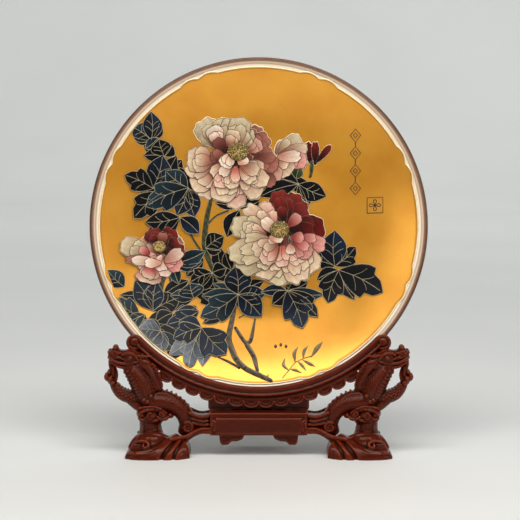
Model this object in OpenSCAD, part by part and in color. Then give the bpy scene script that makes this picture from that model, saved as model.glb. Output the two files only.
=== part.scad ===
// Decorative porcelain plate with a gilt peony face, standing in a carved double-dragon cradle.
// Millimetres. +Z is up, the face looks along -Y, and the origin is under the middle of the bounding box.

/* [Plate] */
// Diameter across the rim
plate_d = 260; // [254:1:266]
// Depth of the well below the rim plane
well_depth = 20; // [18:1:22]
// Thickness of the porcelain wall
wall = 5; // [4.5:0.1:5.5]
// Outer diameter of the foot ring
foot_ring_d = 146; // [140:1:150]
// Backward lean of the plate in its cradle, in degrees
lean = 11; // [10:0.5:12]
// Travel of the plate when it is lifted out
lift_travel = 150; // [130:5:180]

/* [Stand] */
// Width of the centre block
block_w = 74; // [73:1:75]
// Depth of the centre block, front to back
block_depth = 30; // [28:1:31]
// Thickness of the dragon carvings, front to back
carving_depth = 24; // [20:1:26]
// Reach of the feet in front of the plate's lowest point
foot_front = 32; // [28:1:36]
// Reach of the feet behind the plate's lowest point
foot_back = 50; // [46:1:54]
// Height of the plate's lowest point above the table
groove_height = 44.8; // [44.5:0.1:45.2]

/* [Hardware] */
// Diameter of the wooden dowels
dowel_d = 6; // [5:0.5:6]
// Diameter of the hinge pin
hinge_pin_d = 4; // [3.6:0.1:4.4]

/* [Hidden] */
$fn = 96;

plate_r = plate_d / 2;
// Carved outlines are drawn for a 260 mm plate and scaled with it.
carve_scale = plate_d / 260;
// Rim band of brown glaze, and the well's flat middle
band_width = 3;
body_r = plate_r - band_width;
well_r = 62;
rim_thickness = 4.5;
face_power = 1.6;
gilt_thickness = 0.6;
relief_thickness = 1.2;
gilt_r = plate_r - 7.3;
foot_ring_r = foot_ring_d / 2;
foot_ring_w = 6;
foot_plane = 28;
// The cradle rail: radii from the plate's axis
lip_r = plate_r - 5.6;
seat_r = plate_r + 0.3;
back_wall_r = plate_r - 4.5;
moulding_r = plate_r + 3;
rail_r = plate_r + 5.2;
lip_front = 7;
lip_back = 0.8;
wall_front = -9.5;
wall_back = -14;
rail_half_angle = 46;
cap_r = 6.4;
cap_mid = plate_r + 1.2;
// The scallops under the rail
scallop_r = 6;
scallop_mid = rail_r - 0.3;
scallop_pitch = 5;
scallops_a_side = 7;
apron_front = 4.6;
apron_depth = 8;
// Heights in the stand
block_bottom = 15.6;
ledge_bottom = 30.8;
block_top = 33.2;
neck_w = block_w + 3;
neck_bottom = 34.2;
neck_top = 43;
dowel_length = 20;
dowel_fit = 0.05;
// The backrest hinge
hinge_fit = 0.1;
knuckle_r = 6;
knuckle_w = 26;
lug_w = 5;
frame_plane = 35;
panel_depth = 8;
pad_x = 46;
pad_v = -52;
pad_r = 7;
pad_gap = 0.3;

// Where the bounding box puts the plate's lowest point along Y
back_reach = (plate_r + foot_ring_r) * sin(lean) + foot_plane * cos(lean);
groove_y = (foot_front - back_reach) / 2;
block_back = groove_y + block_depth - 16;
carving_front = groove_y - 16;
neck_front = groove_y + 1;
// The hinge axis lies in the middle plane of the backrest.
hinge_z = 25;
hinge_q = (hinge_z - groove_height + frame_plane * sin(lean)) / cos(lean);
hinge_y = groove_y + hinge_q * sin(lean) + frame_plane * cos(lean);

// Height of the painted face above the rim plane at radius r, and of the back
function face_z(r) = r <= well_r ? -well_depth
    : -well_depth * (1 - pow((r - well_r) / (plate_r - well_r), face_power));
function back_z(r) = face_z(r) - wall + (wall - rim_thickness) * r / plate_r;

// Radius of the gilt ground's bracketed edge: eight small lobed motifs between long arcs
function motif_angle(a) = abs(((a + 720) % 45) - 22.5);
function gilt_edge(a) = gilt_r - 0.4 + (motif_angle(a) > 7.5 ? 0 : 1.8 * abs(sin(motif_angle(a) * 24)));

// Local frame of the plate: X right, Y up its face, Z out of its face, origin at the rim plane's centre
module on_plate() {
    translate([0, groove_y + plate_r * sin(lean), groove_height + plate_r * cos(lean)])
        rotate([90 - lean, 0, 0]) children();
}

// Radii at which the curved flange is laid out
face_steps = 9;
face_radii = [for (i = [0:face_steps]) well_r + (body_r - well_r) * i / face_steps];

// A solid that lies on the painted face, from one height above it to another
module face_shell(from, to) {
    rotate_extrude()
        polygon(concat([[0, face_z(0) + to]], [for (r = face_radii) [r, face_z(r) + to]],
            [for (i = [face_steps:-1:0]) [face_radii[i], face_z(face_radii[i]) + from]], [[0, face_z(0) + from]]));
}

// Stands a front-view outline up in the XZ plane, between two depths along Y
module carved(outline, front, back) {
    translate([0, back, 0]) rotate([90, 0, 0]) linear_extrude(back - front)
        scale([carve_scale, carve_scale]) polygon(outline);
}

module plate_body() {
    under = [for (i = [face_steps:-1:0]) if (face_radii[i] > foot_ring_r + 2) [face_radii[i], back_z(face_radii[i])]];
    ring_out = foot_ring_r;
    ring_in = foot_ring_r - foot_ring_w;
    color("ivory") on_plate() rotate_extrude()
        polygon(concat([[0, face_z(0)]], [for (r = face_radii) [r, face_z(r)]], under,
            [[ring_out + 0.5, back_z(ring_out + 1)], [ring_out, -foot_plane + 0.6], [ring_out - 0.8, -foot_plane],
             [ring_in + 0.8, -foot_plane], [ring_in, -foot_plane + 0.6], [ring_in - 0.8, -well_depth - wall],
             [0, -well_depth - wall]]));
}

module rim_band() {
    front = face_z(body_r);
    back = back_z(body_r);
    mid = (front + back) / 2;
    edge = [for (a = [90:-15:-90]) [plate_r - 1.6 + 1.6 * cos(a), mid + (front - mid + 0.3) * sin(a)]];
    color("saddlebrown") on_plate() rotate_extrude()
        polygon(concat([[body_r, front]], edge, [[body_r, back]]));
}

module gilt_face() {
    color("goldenrod") on_plate() intersection() {
        face_shell(0, gilt_thickness);
        translate([0, 0, -well_depth - 1]) linear_extrude(well_depth + 5)
            polygon([for (a = [0:2.5:357.5]) gilt_edge(a) * [cos(a), sin(a)]]);
    }
}

// Raised enamel on the gilt ground: the children are outlines in the plate's plane
module enamel() {
    on_plate() intersection() {
        face_shell(gilt_thickness, gilt_thickness + relief_thickness);
        translate([0, 0, -well_depth - 1]) linear_extrude(well_depth + 5) children();
    }
}

// Each blossom: x and height up the face of its middle, and its radius
blossoms = [[-20, 50, 34], [26, 56, 12], [15, -10, 36], [-82, -24, 21]];
module blossom_relief() {
    color("mistyrose") enamel() for (b = blossoms) translate([b[0], b[1]]) circle(b[2]);
}

// Each leaf: x and height up the face of its foot, then of its tip
leaves = [[-83, 66, -83, 86], [-83, 66, -97, 75], [-73, 54, -77, 66], [-82, 29, -66, 53], [-82, 29, -102, 38],
    [-75, 26, -95, 7], [-55, 30, -85, 16], [-57, 29, -50, 9], [-61, 7, -86, 3], [-103, -48, -115, -36], [-81, -66, -64, -57],
    [-81, -66, -92, -46], [-91, -71, -109, -58], [-75, -82, -90, -78], [-75, -82, -66, -96], [-50, -56, -53, -45],
    [-46, -66, -69, -76], [-44, -79, -64, -87], [-44, -79, -53, -108], [-44, -79, -26, -98], [-16, -53, -18, -35],
    [-16, -53, -43, -69], [-16, -53, 1, -69], [-36, -36, -52, -43], [22, -50, 33, -77], [22, -50, 44, -69],
    [59, -31, 59, -5], [62, -34, 93, -51], [62, -34, 54, -58], [31, 33, 51, 24]];
leaf = [[0, 0], [0.16, -0.2], [0.42, -0.34], [0.6, -0.22], [0.75, -0.19], [1, 0], [0.75, 0.19], [0.6, 0.22], [0.42, 0.34],
    [0.16, 0.2]];
// The leaves' outlines; grow widens them a little
module leaf_outlines(grow = 0) {
    for (s = leaves) let (d = [s[2] - s[0], s[3] - s[1]], size = norm(d))
        translate([s[0], s[1]]) rotate(atan2(d[1], d[0])) translate([-grow * size, 0])
            scale([(1 + 2 * grow) * size, (1 + 3 * grow) * size]) polygon(leaf);
}
module leaf_relief() {
    color("midnightblue") enamel() difference() {
        leaf_outlines();
        for (b = blossoms) translate([b[0], b[1]]) circle(b[2] + 0.4);
    }
}

// Stems from the foot of the face up to the blossoms, as straight stretches: two ends and a width
stems = [[[9, -119], [-10, -111], 5], [[-10, -111], [-21, -95], 5], [[-21, -95], [-22, -80], 4.4], [[-22, -80], [-18, -60], 3],
    [[-1, -112], [-4, -101], 3], [[-4, -101], [-9, -92], 3.6], [[-9, -92], [-3, -72], 2.4],
    [[-32, -45], [-41, -20], 3.6], [[-41, -20], [-41, 8], 4]];
module branch_relief() {
    color("dimgray") enamel() difference() {
        for (s = stems) let (d = s[1] - s[0])
            translate(s[0]) rotate(atan2(d[1], d[0])) translate([0, -s[2] / 2]) square([norm(d), s[2]]);
        leaf_outlines(0.04);
        for (b = blossoms) translate([b[0], b[1]]) circle(b[2] + 0.4);
    }
}

// Cross-section of the cradle rail before its groove is cut, radius against height above the rim plane
rail_section = [[back_wall_r - 4, wall_back], [rail_r - 1, wall_back], [rail_r, wall_back + 1], [rail_r, 4],
    [rail_r - 1, 5.2], [moulding_r + 0.8, 5.8], [moulding_r, 5.2], [moulding_r - 1.2, lip_front],
    [back_wall_r - 4, lip_front]];

// Everything within the rail's outer radius, and the round ends, from the rail's back to far in front
module rail_envelope(extra = 0, reach = 60) {
    on_plate() {
        translate([0, 0, wall_back - extra]) cylinder(r = rail_r + extra, h = reach, $fn = 360);
        rail_ends() cylinder(r = cap_r + extra, h = reach);
    }
}
module rail_ends() {
    for (side = [-1, 1]) rotate([0, 0, 270 + side * rail_half_angle])
        translate([cap_mid, 0, wall_back - 0.4]) children();
}

module cradle_rail() {
    color("brown") difference() {
        on_plate() difference() {
            union() {
                rotate([0, 0, 270 - rail_half_angle]) rotate_extrude(angle = 2 * rail_half_angle) polygon(rail_section);
                rail_ends() cylinder(r = cap_r, h = lip_front - wall_back + 1);
            }
            translate([0, 0, wall_back - 2]) cylinder(r = back_wall_r, h = 40, $fn = 360);
            translate([0, 0, lip_back - 0.5]) cylinder(r = lip_r, h = 20, $fn = 360);
            translate([0, 0, wall_front]) cylinder(r = seat_r, h = lip_back - wall_front, $fn = 360);
        }
        rail_dowel_places() cylinder(d = dowel_d + 2 * dowel_fit, h = dowel_length + 0.2);
    }
}

// Row of scallops hanging under the rail, in front of the neck of the block
function scallop_edge(a) = let (off = ((a + 20 * scallop_pitch) % scallop_pitch) - scallop_pitch / 2)
    scallop_mid * cos(off) + sqrt(pow(scallop_r, 2) - pow(scallop_mid * sin(off), 2));
apron_half = scallops_a_side * scallop_pitch + 0.6;
module scalloped_apron() {
    half = scallops_a_side * scallop_pitch;
    color("brown") difference() {
        on_plate() translate([0, 0, apron_front - apron_depth]) rotate([0, 0, 270]) difference() {
            linear_extrude(apron_depth)
                polygon(concat([for (a = [-half:1:half]) scallop_edge(a) * [cos(a), sin(a)]],
                    [for (a = [half:-2.5:-half]) (rail_r - 4) * [cos(a), sin(a)]]));
            translate([0, 0, -1]) cylinder(r = rail_r + 0.02, h = apron_depth + 2, $fn = 360);
        }
        block_envelope();
    }
}

module block_envelope() {
    translate([-block_w / 2 - 1, carving_front - 1, block_bottom]) cube([block_w + 2, block_depth + 2, block_top - block_bottom + 0.02]);
    translate([-neck_w / 2 - 1, neck_front, block_bottom]) cube([neck_w + 2, 30, 40]);
}

// Dowel places, each at the dowel's lower or inner end
module rail_dowel_places() {
    for (side = [-1, 1]) translate([side * 22, groove_y + 6, groove_height - 21.6]) children();
}
module carving_dowel_places() {
    for (side = [-1, 1]) translate([side * (block_w / 2 - dowel_length / 2), groove_y - 4, 27.4]) rotate([0, side * 90, 0]) children();
}
module pedestal_dowel_places() {
    for (side = [-1, 1], z = [3, 23.5]) translate([side * 82 * carve_scale, groove_y - 4, z]) children();
}

module dowel_holes() {
    rail_dowel_places() translate([0, 0, -0.1]) cylinder(d = dowel_d + 2 * dowel_fit, h = dowel_length + 0.2);
    carving_dowel_places() translate([0, 0, -0.1]) cylinder(d = dowel_d + 2 * dowel_fit, h = dowel_length + 0.2);
    pedestal_dowel_places() translate([0, 0, -0.1]) cylinder(d = dowel_d + 2 * dowel_fit, h = dowel_length + 0.2);
}

module dowels() {
    color("burlywood") {
        rail_dowel_places() cylinder(d = dowel_d, h = dowel_length);
        carving_dowel_places() cylinder(d = dowel_d, h = dowel_length);
        pedestal_dowel_places() cylinder(d = dowel_d, h = dowel_length);
    }
}

// Thin raised panel with notched corners on the front of the block
module front_panel() {
    w = block_w / 2 - 2.4;
    notch = 2;
    low = 17;
    high = 29.7;
    color("brown") translate([0, carving_front, 0]) rotate([90, 0, 0]) linear_extrude(1.6)
        polygon([[-w + notch, low], [w - notch, low], [w - notch, low + notch], [w, low + notch], [w, high - notch],
            [w - notch, high - notch], [w - notch, high], [-w + notch, high], [-w + notch, high - notch],
            [-w, high - notch], [-w, low + notch], [-w + notch, low + notch]]);
}

module centre_block() {
    color("brown") difference() {
        union() {
            translate([-block_w / 2, carving_front, block_bottom]) cube([block_w, block_depth, ledge_bottom - block_bottom]);
            translate([-block_w / 2, carving_front - 1, ledge_bottom]) cube([block_w, block_depth + 1, block_top - ledge_bottom]);
            translate([-block_w / 2 + 2, neck_front + 0.02, block_top - 1])
                cube([block_w - 4, block_back - neck_front - 2, neck_top - block_top + 1]);
            translate([-neck_w / 2, neck_front + 0.02, neck_bottom])
                cube([neck_w, block_back - neck_front - 2, neck_top - neck_bottom]);
        }
        rail_envelope(0.02);
        dowel_holes();
        screw_places() translate([0, 0, -0.1]) cylinder(d = screw_d + 0.1, h = screw_depth + 0.1);
    }
}

module corner_bracket(side) {
    outline = [[30.4, block_bottom], [29.2, 9.6], [27.6, 7.8], [23.1, 8], [20.6, 10.5], [16, 10.8], [12.2, 12.4],
        [9.8, block_bottom]];
    color("brown") mirrored(side) carved(outline, carving_front + 2, carving_front + 12);
}

// The outlines below are for the right-hand side; side = -1 mirrors them.
module mirrored(side) {
    scale_x = side < 0 ? 1 : 0;
    mirror([scale_x, 0, 0]) children();
}

// Plain moulded strip that springs from the block and runs down into the foot
arch_outline = [[37.1, 21], [43.5, 20.6], [49.4, 18], [55.1, 13.8], [58.2, 10.2], [53.4, 10.2], [53.5, 11.8], [47.5, 16],
    [42.9, 17.3], [37.1, 17.4]];
module arch_rail(side) {
    color("brown") difference() {
        mirrored(side) carved(arch_outline, carving_front + 1, carving_front + carving_depth - 4);
        dowel_holes();
    }
}

dragon_outline = [[37.1, 33.3], [45.4, 33.7], [49.8, 34.5], [51.4, 37.5], [53.9, 38.5], [56.3, 40.5], [59.6, 41.7],
    [63.6, 45.1], [67.5, 46.7], [70.1, 49.3], [73.2, 50.1], [73.8, 56.5], [71, 62], [86, 84], [102.4, 80.4], [107.8, 83.5],
    [113.3, 77.7], [111.9, 70.4], [114, 66.7], [113.4, 63], [117.5, 59.3], [117.1, 55.7], [112.8, 52], [109.1, 51.2],
    [108.1, 45.4], [104.2, 40.2], [96.9, 38], [91.9, 32.9], [87, 30.3], [79.1, 29.9], [73.1, 28.7], [69.8, 25.8],
    [66.9, 26.6], [64.8, 29.1], [60.4, 25.1], [62.2, 21.9], [63.2, 15.8], [59.9, 12.2], [56.4, 13.8], [50.2, 18.4],
    [44.1, 21.2], [37.1, 21.6]];
arm_hole = [[108.6, 64.3], [105.6, 63.7], [101.6, 62.2], [99.5, 57.7], [95.5, 52.2], [95.8, 49.9], [98.9, 49.5],
    [101.6, 50.5], [104.6, 55.1], [106.3, 60.5]];
module dragon(side) {
    color("brown") difference() {
        mirrored(side) difference() {
            carved(dragon_outline, carving_front, carving_front + carving_depth);
            carved(arm_hole, carving_front - 1, carving_front + carving_depth + 1);
        }
        rail_envelope(0.02);
        on_plate() rotate([0, 0, 270]) translate([0, 0, -10])
            rotate([0, 0, -apron_half]) rotate_extrude(angle = 2 * apron_half) square([scallop_mid + scallop_r + 0.3, 40]);
        dowel_holes();
    }
}

// Cloud column between the foot and the dragon
pedestal_outline = [[73.5, 28.9], [79.1, 30.1], [87, 30.5], [91.9, 33.1], [92.5, 27.1], [89.8, 23.3], [90.6, 19],
    [91.2, 14.4], [87.1, 12.3], [79.2, 11.3], [73.6, 12], [71.8, 15.8], [74.2, 19.1], [74.4, 23.7], [70, 26]];
module pedestal(side) {
    color("brown") difference() {
        mirrored(side) carved(pedestal_outline, carving_front, carving_front + carving_depth);
        mirrored(side) carved(dragon_outline, carving_front - 1, carving_front + carving_depth + 1);
        dowel_holes();
    }
}

foot_outline = [[91.2, 14.2], [94.7, 10], [99.7, 4.5], [101.2, 1.6], [100, 0], [54.3, 0], [52.1, 2.4], [52.1, 7.6],
    [54.6, 10], [58.4, 10], [59.8, 12], [63.2, 15.6], [68.4, 13], [71.6, 15.6], [73.4, 11.9], [79.2, 11.1], [87.1, 12.1]];
// Sideways-on outline of a foot, y from its front toe: toes, waists at the carving and a shallow arch under it
module foot(side) {
    span = foot_front + foot_back;
    waist = carving_front - groove_y + foot_front;
    heel = waist + carving_depth;
    profile = [[0, 0.4], [0.4, 0], [span * 0.2, 0], [span * 0.26, 2.6], [span * 0.74, 2.6], [span * 0.8, 0],
        [span - 0.4, 0], [span, 0.4], [span, 6], [heel + 10, 12], [heel, 16], [heel, 30], [waist, 30], [waist, 12],
        [6, 8], [0, 5]];
    // Seen from above: broad in front, a narrow heel behind the column
    plan = [[50, -foot_front - 1], [103, -foot_front - 1], [103, -16], [96, 2], [91, 14], [91, foot_back + 1],
        [74, foot_back + 1], [74, 14], [60, 9], [50, 5]];
    color("brown") difference() {
        intersection() {
            mirrored(side) carved(foot_outline, groove_y - foot_front - 1, groove_y + foot_back + 1);
            translate([-130, groove_y - foot_front, 0]) rotate([90, 0, 90]) linear_extrude(260) polygon(profile);
            mirrored(side) translate([0, groove_y, -1]) linear_extrude(40) polygon(plan);
        }
        dowel_holes();
    }
}

// The hinge bracket screwed to the back of the block
bracket_w = 44;
bracket_thick = 2.5;
screw_d = 3;
screw_depth = 9;
screw_head_d = 5.6;
module screw_places() {
    for (x = [-15, 15], z = [19.6, 28.8]) translate([x, block_back, z]) rotate([90, 0, 0]) children();
}
module hinge_bracket() {
    color("goldenrod") difference() {
        union() {
            translate([-bracket_w / 2, block_back, block_bottom + 0.5]) cube([bracket_w, bracket_thick, 16.5]);
            for (side = [-1, 1]) {
                x = side < 0 ? -knuckle_w / 2 - lug_w - 0.3 : knuckle_w / 2 + 0.3;
                translate([x, hinge_y, hinge_z]) rotate([0, 90, 0]) cylinder(r = knuckle_r, h = lug_w);
                translate([x, block_back + 0.5, hinge_z - knuckle_r]) cube([lug_w, hinge_y - block_back - 0.5, 2 * knuckle_r - 2]);
            }
        }
        translate([-40, hinge_y, hinge_z]) rotate([0, 90, 0]) cylinder(d = hinge_pin_d + 2 * hinge_fit, h = 80);
        screw_places() translate([0, 0, -bracket_thick - 1]) cylinder(d = screw_d + 0.4, h = 12);
        screw_places() translate([0, 0, -bracket_thick - 10]) cylinder(d = screw_head_d + 0.3, h = 11.2);
    }
}
module bracket_screws() {
    color("silver") screw_places() {
        translate([0, 0, -bracket_thick + 1.2]) cylinder(d = screw_d - 0.2, h = screw_depth + bracket_thick - 1.4);
        translate([0, 0, -bracket_thick - 0.4]) difference() {
            cylinder(d = screw_head_d, h = 1.6);
            translate([-0.4, -3, -0.1]) cube([0.8, 6, 0.7]);
        }
    }
}

pin_reach = knuckle_w / 2 + 0.3 + lug_w;
module hinge_pin() {
    color("silver") translate([0, hinge_y, hinge_z]) rotate([0, 90, 0]) {
        translate([0, 0, -pin_reach - 2.6]) cylinder(d = 8, h = 2.5);
        translate([0, 0, -pin_reach - 0.2]) cylinder(d = hinge_pin_d, h = 2 * pin_reach + 8);
    }
}

nut_fit = 0.1;
module thumb_nut() {
    color("goldenrod") translate([pin_reach + 0.2, hinge_y, hinge_z]) rotate([0, 90, 0]) difference() {
        union() {
            cylinder(r = 4, h = 5);
            for (turn = [0, 180]) rotate([0, 0, turn]) translate([2.6, -1, 1]) cube([7, 2, 5.5]);
        }
        translate([0, 0, -1]) cylinder(d = hinge_pin_d + 2 * nut_fit, h = 12);
    }
}

// Backrest: a cloud-headed panel in a plane parallel to the plate's back
module backrest_panel() {
    half = [[8, 0], [9, 22], [13, 36], [26, 46], [44, 56], [55, 66], [60, 78], [59, 90], [52, 100], [40, 102],
        [28, 108], [14, 115], [0, 118]];
    outline = concat([for (p = half) p], [for (i = [len(half) - 2:-1:0]) [-half[i][0], half[i][1]]]);
    color("brown") difference() {
        union() {
            translate([0, hinge_y, hinge_z]) rotate([90 - lean, 0, 0]) translate([0, 5, -panel_depth / 2])
                linear_extrude(panel_depth) polygon(outline);
            translate([-knuckle_w / 2, hinge_y, hinge_z]) rotate([0, 90, 0]) cylinder(r = knuckle_r, h = knuckle_w);
        }
        translate([-40, hinge_y, hinge_z]) rotate([0, 90, 0]) cylinder(d = hinge_pin_d + 2 * hinge_fit, h = 80);
        on_plate() translate([0, pad_v, -frame_plane - panel_depth]) cylinder(r = 8, h = 2 * panel_depth);
    }
}
module backrest_pads() {
    pad_front = -foot_plane - pad_gap;
    pad_back = -frame_plane + panel_depth / 2;
    color("dimgray") on_plate() for (side = [-1, 1]) translate([side * pad_x, pad_v, pad_back])
        cylinder(r = pad_r, h = pad_front - pad_back);
}

plate_body();
rim_band();
gilt_face();
blossom_relief();
leaf_relief();
branch_relief();
cradle_rail();
scalloped_apron();
centre_block();
front_panel();
corner_bracket(-1);  // left_corner_bracket
corner_bracket(1);  // right_corner_bracket
arch_rail(-1);  // left_arch_rail
arch_rail(1);  // right_arch_rail
dragon(-1);  // left_dragon
dragon(1);  // right_dragon
pedestal(-1);  // left_pedestal
pedestal(1);  // right_pedestal
foot(-1);  // left_foot
foot(1);  // right_foot
dowels();
hinge_bracket();
bracket_screws();
hinge_pin();
backrest_panel();
backrest_pads();
thumb_nut();
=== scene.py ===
# Gilt display plate with enamel peonies on a carved double-dragon stand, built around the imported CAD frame.
import math
import random

import bpy
import numpy as np
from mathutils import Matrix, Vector


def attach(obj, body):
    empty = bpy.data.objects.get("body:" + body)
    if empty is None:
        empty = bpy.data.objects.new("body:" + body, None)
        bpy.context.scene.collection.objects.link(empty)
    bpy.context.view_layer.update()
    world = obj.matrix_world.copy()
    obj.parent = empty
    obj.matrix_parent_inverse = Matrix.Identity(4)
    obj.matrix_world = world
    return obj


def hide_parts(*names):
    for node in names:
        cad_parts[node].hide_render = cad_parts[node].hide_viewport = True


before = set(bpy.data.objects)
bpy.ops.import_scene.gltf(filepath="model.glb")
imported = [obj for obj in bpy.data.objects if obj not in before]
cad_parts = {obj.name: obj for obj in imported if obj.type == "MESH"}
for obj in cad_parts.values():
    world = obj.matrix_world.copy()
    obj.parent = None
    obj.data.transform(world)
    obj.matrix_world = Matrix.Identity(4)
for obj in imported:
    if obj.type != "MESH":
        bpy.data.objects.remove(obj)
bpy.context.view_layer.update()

# ---------------------------------------------------------------- driving sizes, millimetres
MM = 0.001
LEAN = math.radians(11)
PLATE_R = 130.0
WELL_R = 62.0
WELL_DEPTH = 20.0
WALL = 5.0
RIM_THICKNESS = 4.5
FACE_POWER = 1.6
GROUND_TOP = 0.55
GILT_R = PLATE_R - 7.7
PAINT_R = 121.2
MOTIF_PITCH = 45.0
MOTIF_HALF = 7.5
MOTIF_DEPTH = 1.8
BODY_R = PLATE_R - 3.0
RAIL_R = PLATE_R + 5.2
RAIL_HALF_ANGLE = math.radians(46)
CAP_R = 6.4
CAP_MID = PLATE_R + 1.2
SCALLOPS = 14
SCALLOP_PITCH = 4.8
GROOVE_Z = 44.8
FOOT_PLANE = 28.0
FOOT_RING_R = 73.0
FOOT_FRONT = 32.0
FOOT_BACK = 50.0
GROOVE_Y = (FOOT_FRONT - (PLATE_R + FOOT_RING_R) * math.sin(LEAN) - FOOT_PLANE * math.cos(LEAN)) / 2
FRAME_PLANE = 35.0
HINGE_Z = 25.0
HINGE_Q = (HINGE_Z - GROOVE_Z + FRAME_PLANE * math.sin(LEAN)) / math.cos(LEAN)
HOLE_UP = 78 - HINGE_Q
HINGE_Y = GROOVE_Y + HINGE_Q * math.sin(LEAN) + FRAME_PLANE * math.cos(LEAN)
Y_AXIS = np.array([0.0, 1.0, 0.0])
PLATE_AXIS = np.array([0.0, 0.0, 1.0])


def face_z(r):
    """Height of the painted face above the rim plane at radius r."""
    curve = np.clip((np.asarray(r, float) - WELL_R) / (PLATE_R - WELL_R), 0, 1) ** FACE_POWER
    return -WELL_DEPTH * (1 - curve)


def from_plate(points):
    """Plate coordinates (right, up the face, out of the face) to the shared frame."""
    p = np.asarray(points, float)
    x, v, z = p[:, 0], p[:, 1] + PLATE_R, p[:, 2]
    return np.stack([x, GROOVE_Y + v * math.sin(LEAN) - z * math.cos(LEAN),
                     GROOVE_Z + v * math.cos(LEAN) + z * math.sin(LEAN)], axis=1)


def from_stand(points):
    """Stand coordinates (right, depth behind the plate's lowest point, up) to the shared frame."""
    return np.asarray(points, float) + [0, GROOVE_Y, 0]


# ---------------------------------------------------------------- mesh helpers
def merge(parts):
    """Joins (vertices, faces) pairs into one."""
    verts, faces, start = [], [], 0
    for v, f in parts:
        verts.append(np.asarray(v, float))
        faces += [tuple(i + start for i in face) for face in f]
        start += len(v)
    return np.vstack(verts), faces


def turned_over(faces):
    """The same faces, seen from their other side."""
    return [face[::-1] for face in faces]


def mirrored(part):
    """The same part on the other side, left for right."""
    v, f = part
    return np.asarray(v, float) * [-1, 1, 1], turned_over(f)


def with_last(points, height):
    """Gives each row of a path one more number: its height or its radius."""
    return [tuple(q) + (height,) for q in points]


def spline(points, per_span=6):
    """Catmull-Rom curve through rows of numbers."""
    p = np.array(points, float)
    p = np.vstack([2 * p[0] - p[1], p, 2 * p[-1] - p[-2]])
    out = []
    for i in range(1, len(p) - 2):
        a, b, c, d = p[i - 1:i + 3]
        for t in np.arange(per_span) / per_span:
            out.append(0.5 * (2 * b + (c - a) * t + (2 * a - 5 * b + 4 * c - d) * t * t
                              + (3 * b - a - 3 * c + d) * t ** 3))
    out.append(p[-2])
    return np.array(out)


def grid_faces(rows, cols, wrap=True):
    """Quads between rings of points that follow each other."""
    faces = []
    last = cols if wrap else cols - 1
    for i in range(rows - 1):
        for j in range(last):
            k = (j + 1) % cols
            faces.append((i * cols + j, i * cols + k, (i + 1) * cols + k, (i + 1) * cols + j))
    return faces


def tube(line, sides=12, depth=1.0, per_span=5, axis=Y_AXIS):
    """Round-ended tube along rows of x, y, z, radius. depth scales its section along the axis."""
    path = spline(line, per_span)
    pts, rad = path[:, :3], np.maximum(path[:, 3], 0.15)
    tang = np.gradient(pts, axis=0)
    tang /= np.linalg.norm(tang, axis=1)[:, None] + 1e-9
    for sign, end in ((-1, 0), (1, -1)):
        caps = []
        for a in (35, 62, 82):
            t = tang[end] * sign * rad[end] * math.sin(math.radians(a)) * 0.9
            caps.append((pts[end] + t, rad[end] * math.cos(math.radians(a))))
        cp, cr = np.array([c[0] for c in caps]), np.array([c[1] for c in caps])
        ct = np.repeat(tang[end][None], 3, axis=0)
        if sign < 0:
            pts, rad, tang = np.vstack([cp[::-1], pts]), np.r_[cr[::-1], rad], np.vstack([ct, tang])
        else:
            pts, rad, tang = np.vstack([pts, cp]), np.r_[rad, cr], np.vstack([tang, ct])
    side = np.cross(tang, axis)
    length = np.linalg.norm(side, axis=1)[:, None]
    side = np.where(length > 0.05, side / np.maximum(length, 1e-9), [1.0, 0, 0])
    up = np.cross(side, tang)
    ang = np.arange(sides) / sides * 2 * math.pi
    ring = (np.cos(ang)[None, :, None] * side[:, None] + np.sin(ang)[None, :, None] * up[:, None] * depth)
    verts = (pts[:, None] + ring * rad[:, None, None]).reshape(-1, 3)
    faces = grid_faces(len(pts), sides)
    faces.append(tuple(range(sides))[::-1])
    faces.append(tuple((len(pts) - 1) * sides + j for j in range(sides)))
    return verts, faces


def blob(centre, radii, rings=10, sides=14):
    """Ellipsoid with its poles up and down."""
    lat = np.linspace(-math.pi / 2, math.pi / 2, rings)[1:-1]
    lon = np.arange(sides) / sides * 2 * math.pi
    v = [[0, 0, -1.0]]
    for a in lat:
        v += [[math.cos(a) * math.cos(b), math.cos(a) * math.sin(b), math.sin(a)] for b in lon]
    v.append([0, 0, 1.0])
    v = np.array(v) * radii + centre
    faces = [(0, 1 + (j + 1) % sides, 1 + j) for j in range(sides)]
    faces += [tuple(i + 1 for i in f) for f in grid_faces(len(lat), sides)]
    top = len(v) - 1
    faces += [(top, top - sides + j, top - sides + (j + 1) % sides) for j in range(sides)]
    return v, faces


def spiral(centre, radius, turns, start, thick, y, flip=1):
    """Rows for a tube that winds inwards in a vertical plane at depth y."""
    out = []
    steps = int(turns * 10)
    for i in range(steps + 1):
        t = i / steps
        a = math.radians(start) + flip * t * turns * 2 * math.pi
        r = radius * (1 - 0.88 * t)
        out.append((centre[0] + r * math.cos(a), y, centre[1] + r * math.sin(a), thick * (1 - 0.4 * t)))
    return out


def lathe(profile, start=0.0, end=2 * math.pi, steps=240):
    """Turns a profile of (radius, height) about the plate's axis, closed round its section."""
    prof = np.array(profile, float)
    full = abs(end - start) > 2 * math.pi - 1e-6
    ang = np.linspace(start, end, steps + (0 if full else 1), endpoint=not full)
    verts = np.concatenate([np.stack([prof[:, 0] * math.cos(a), prof[:, 0] * math.sin(a), prof[:, 1]],
                                     axis=1) for a in ang])
    n, m = len(ang), len(prof)
    faces = grid_faces(n, m)
    if full:
        faces += [((n - 1) * m + j, (n - 1) * m + (j + 1) % m, (j + 1) % m, j) for j in range(m)]
    else:
        faces += [tuple(range(m))[::-1], tuple((n - 1) * m + j for j in range(m))]
    return verts, faces


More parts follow.
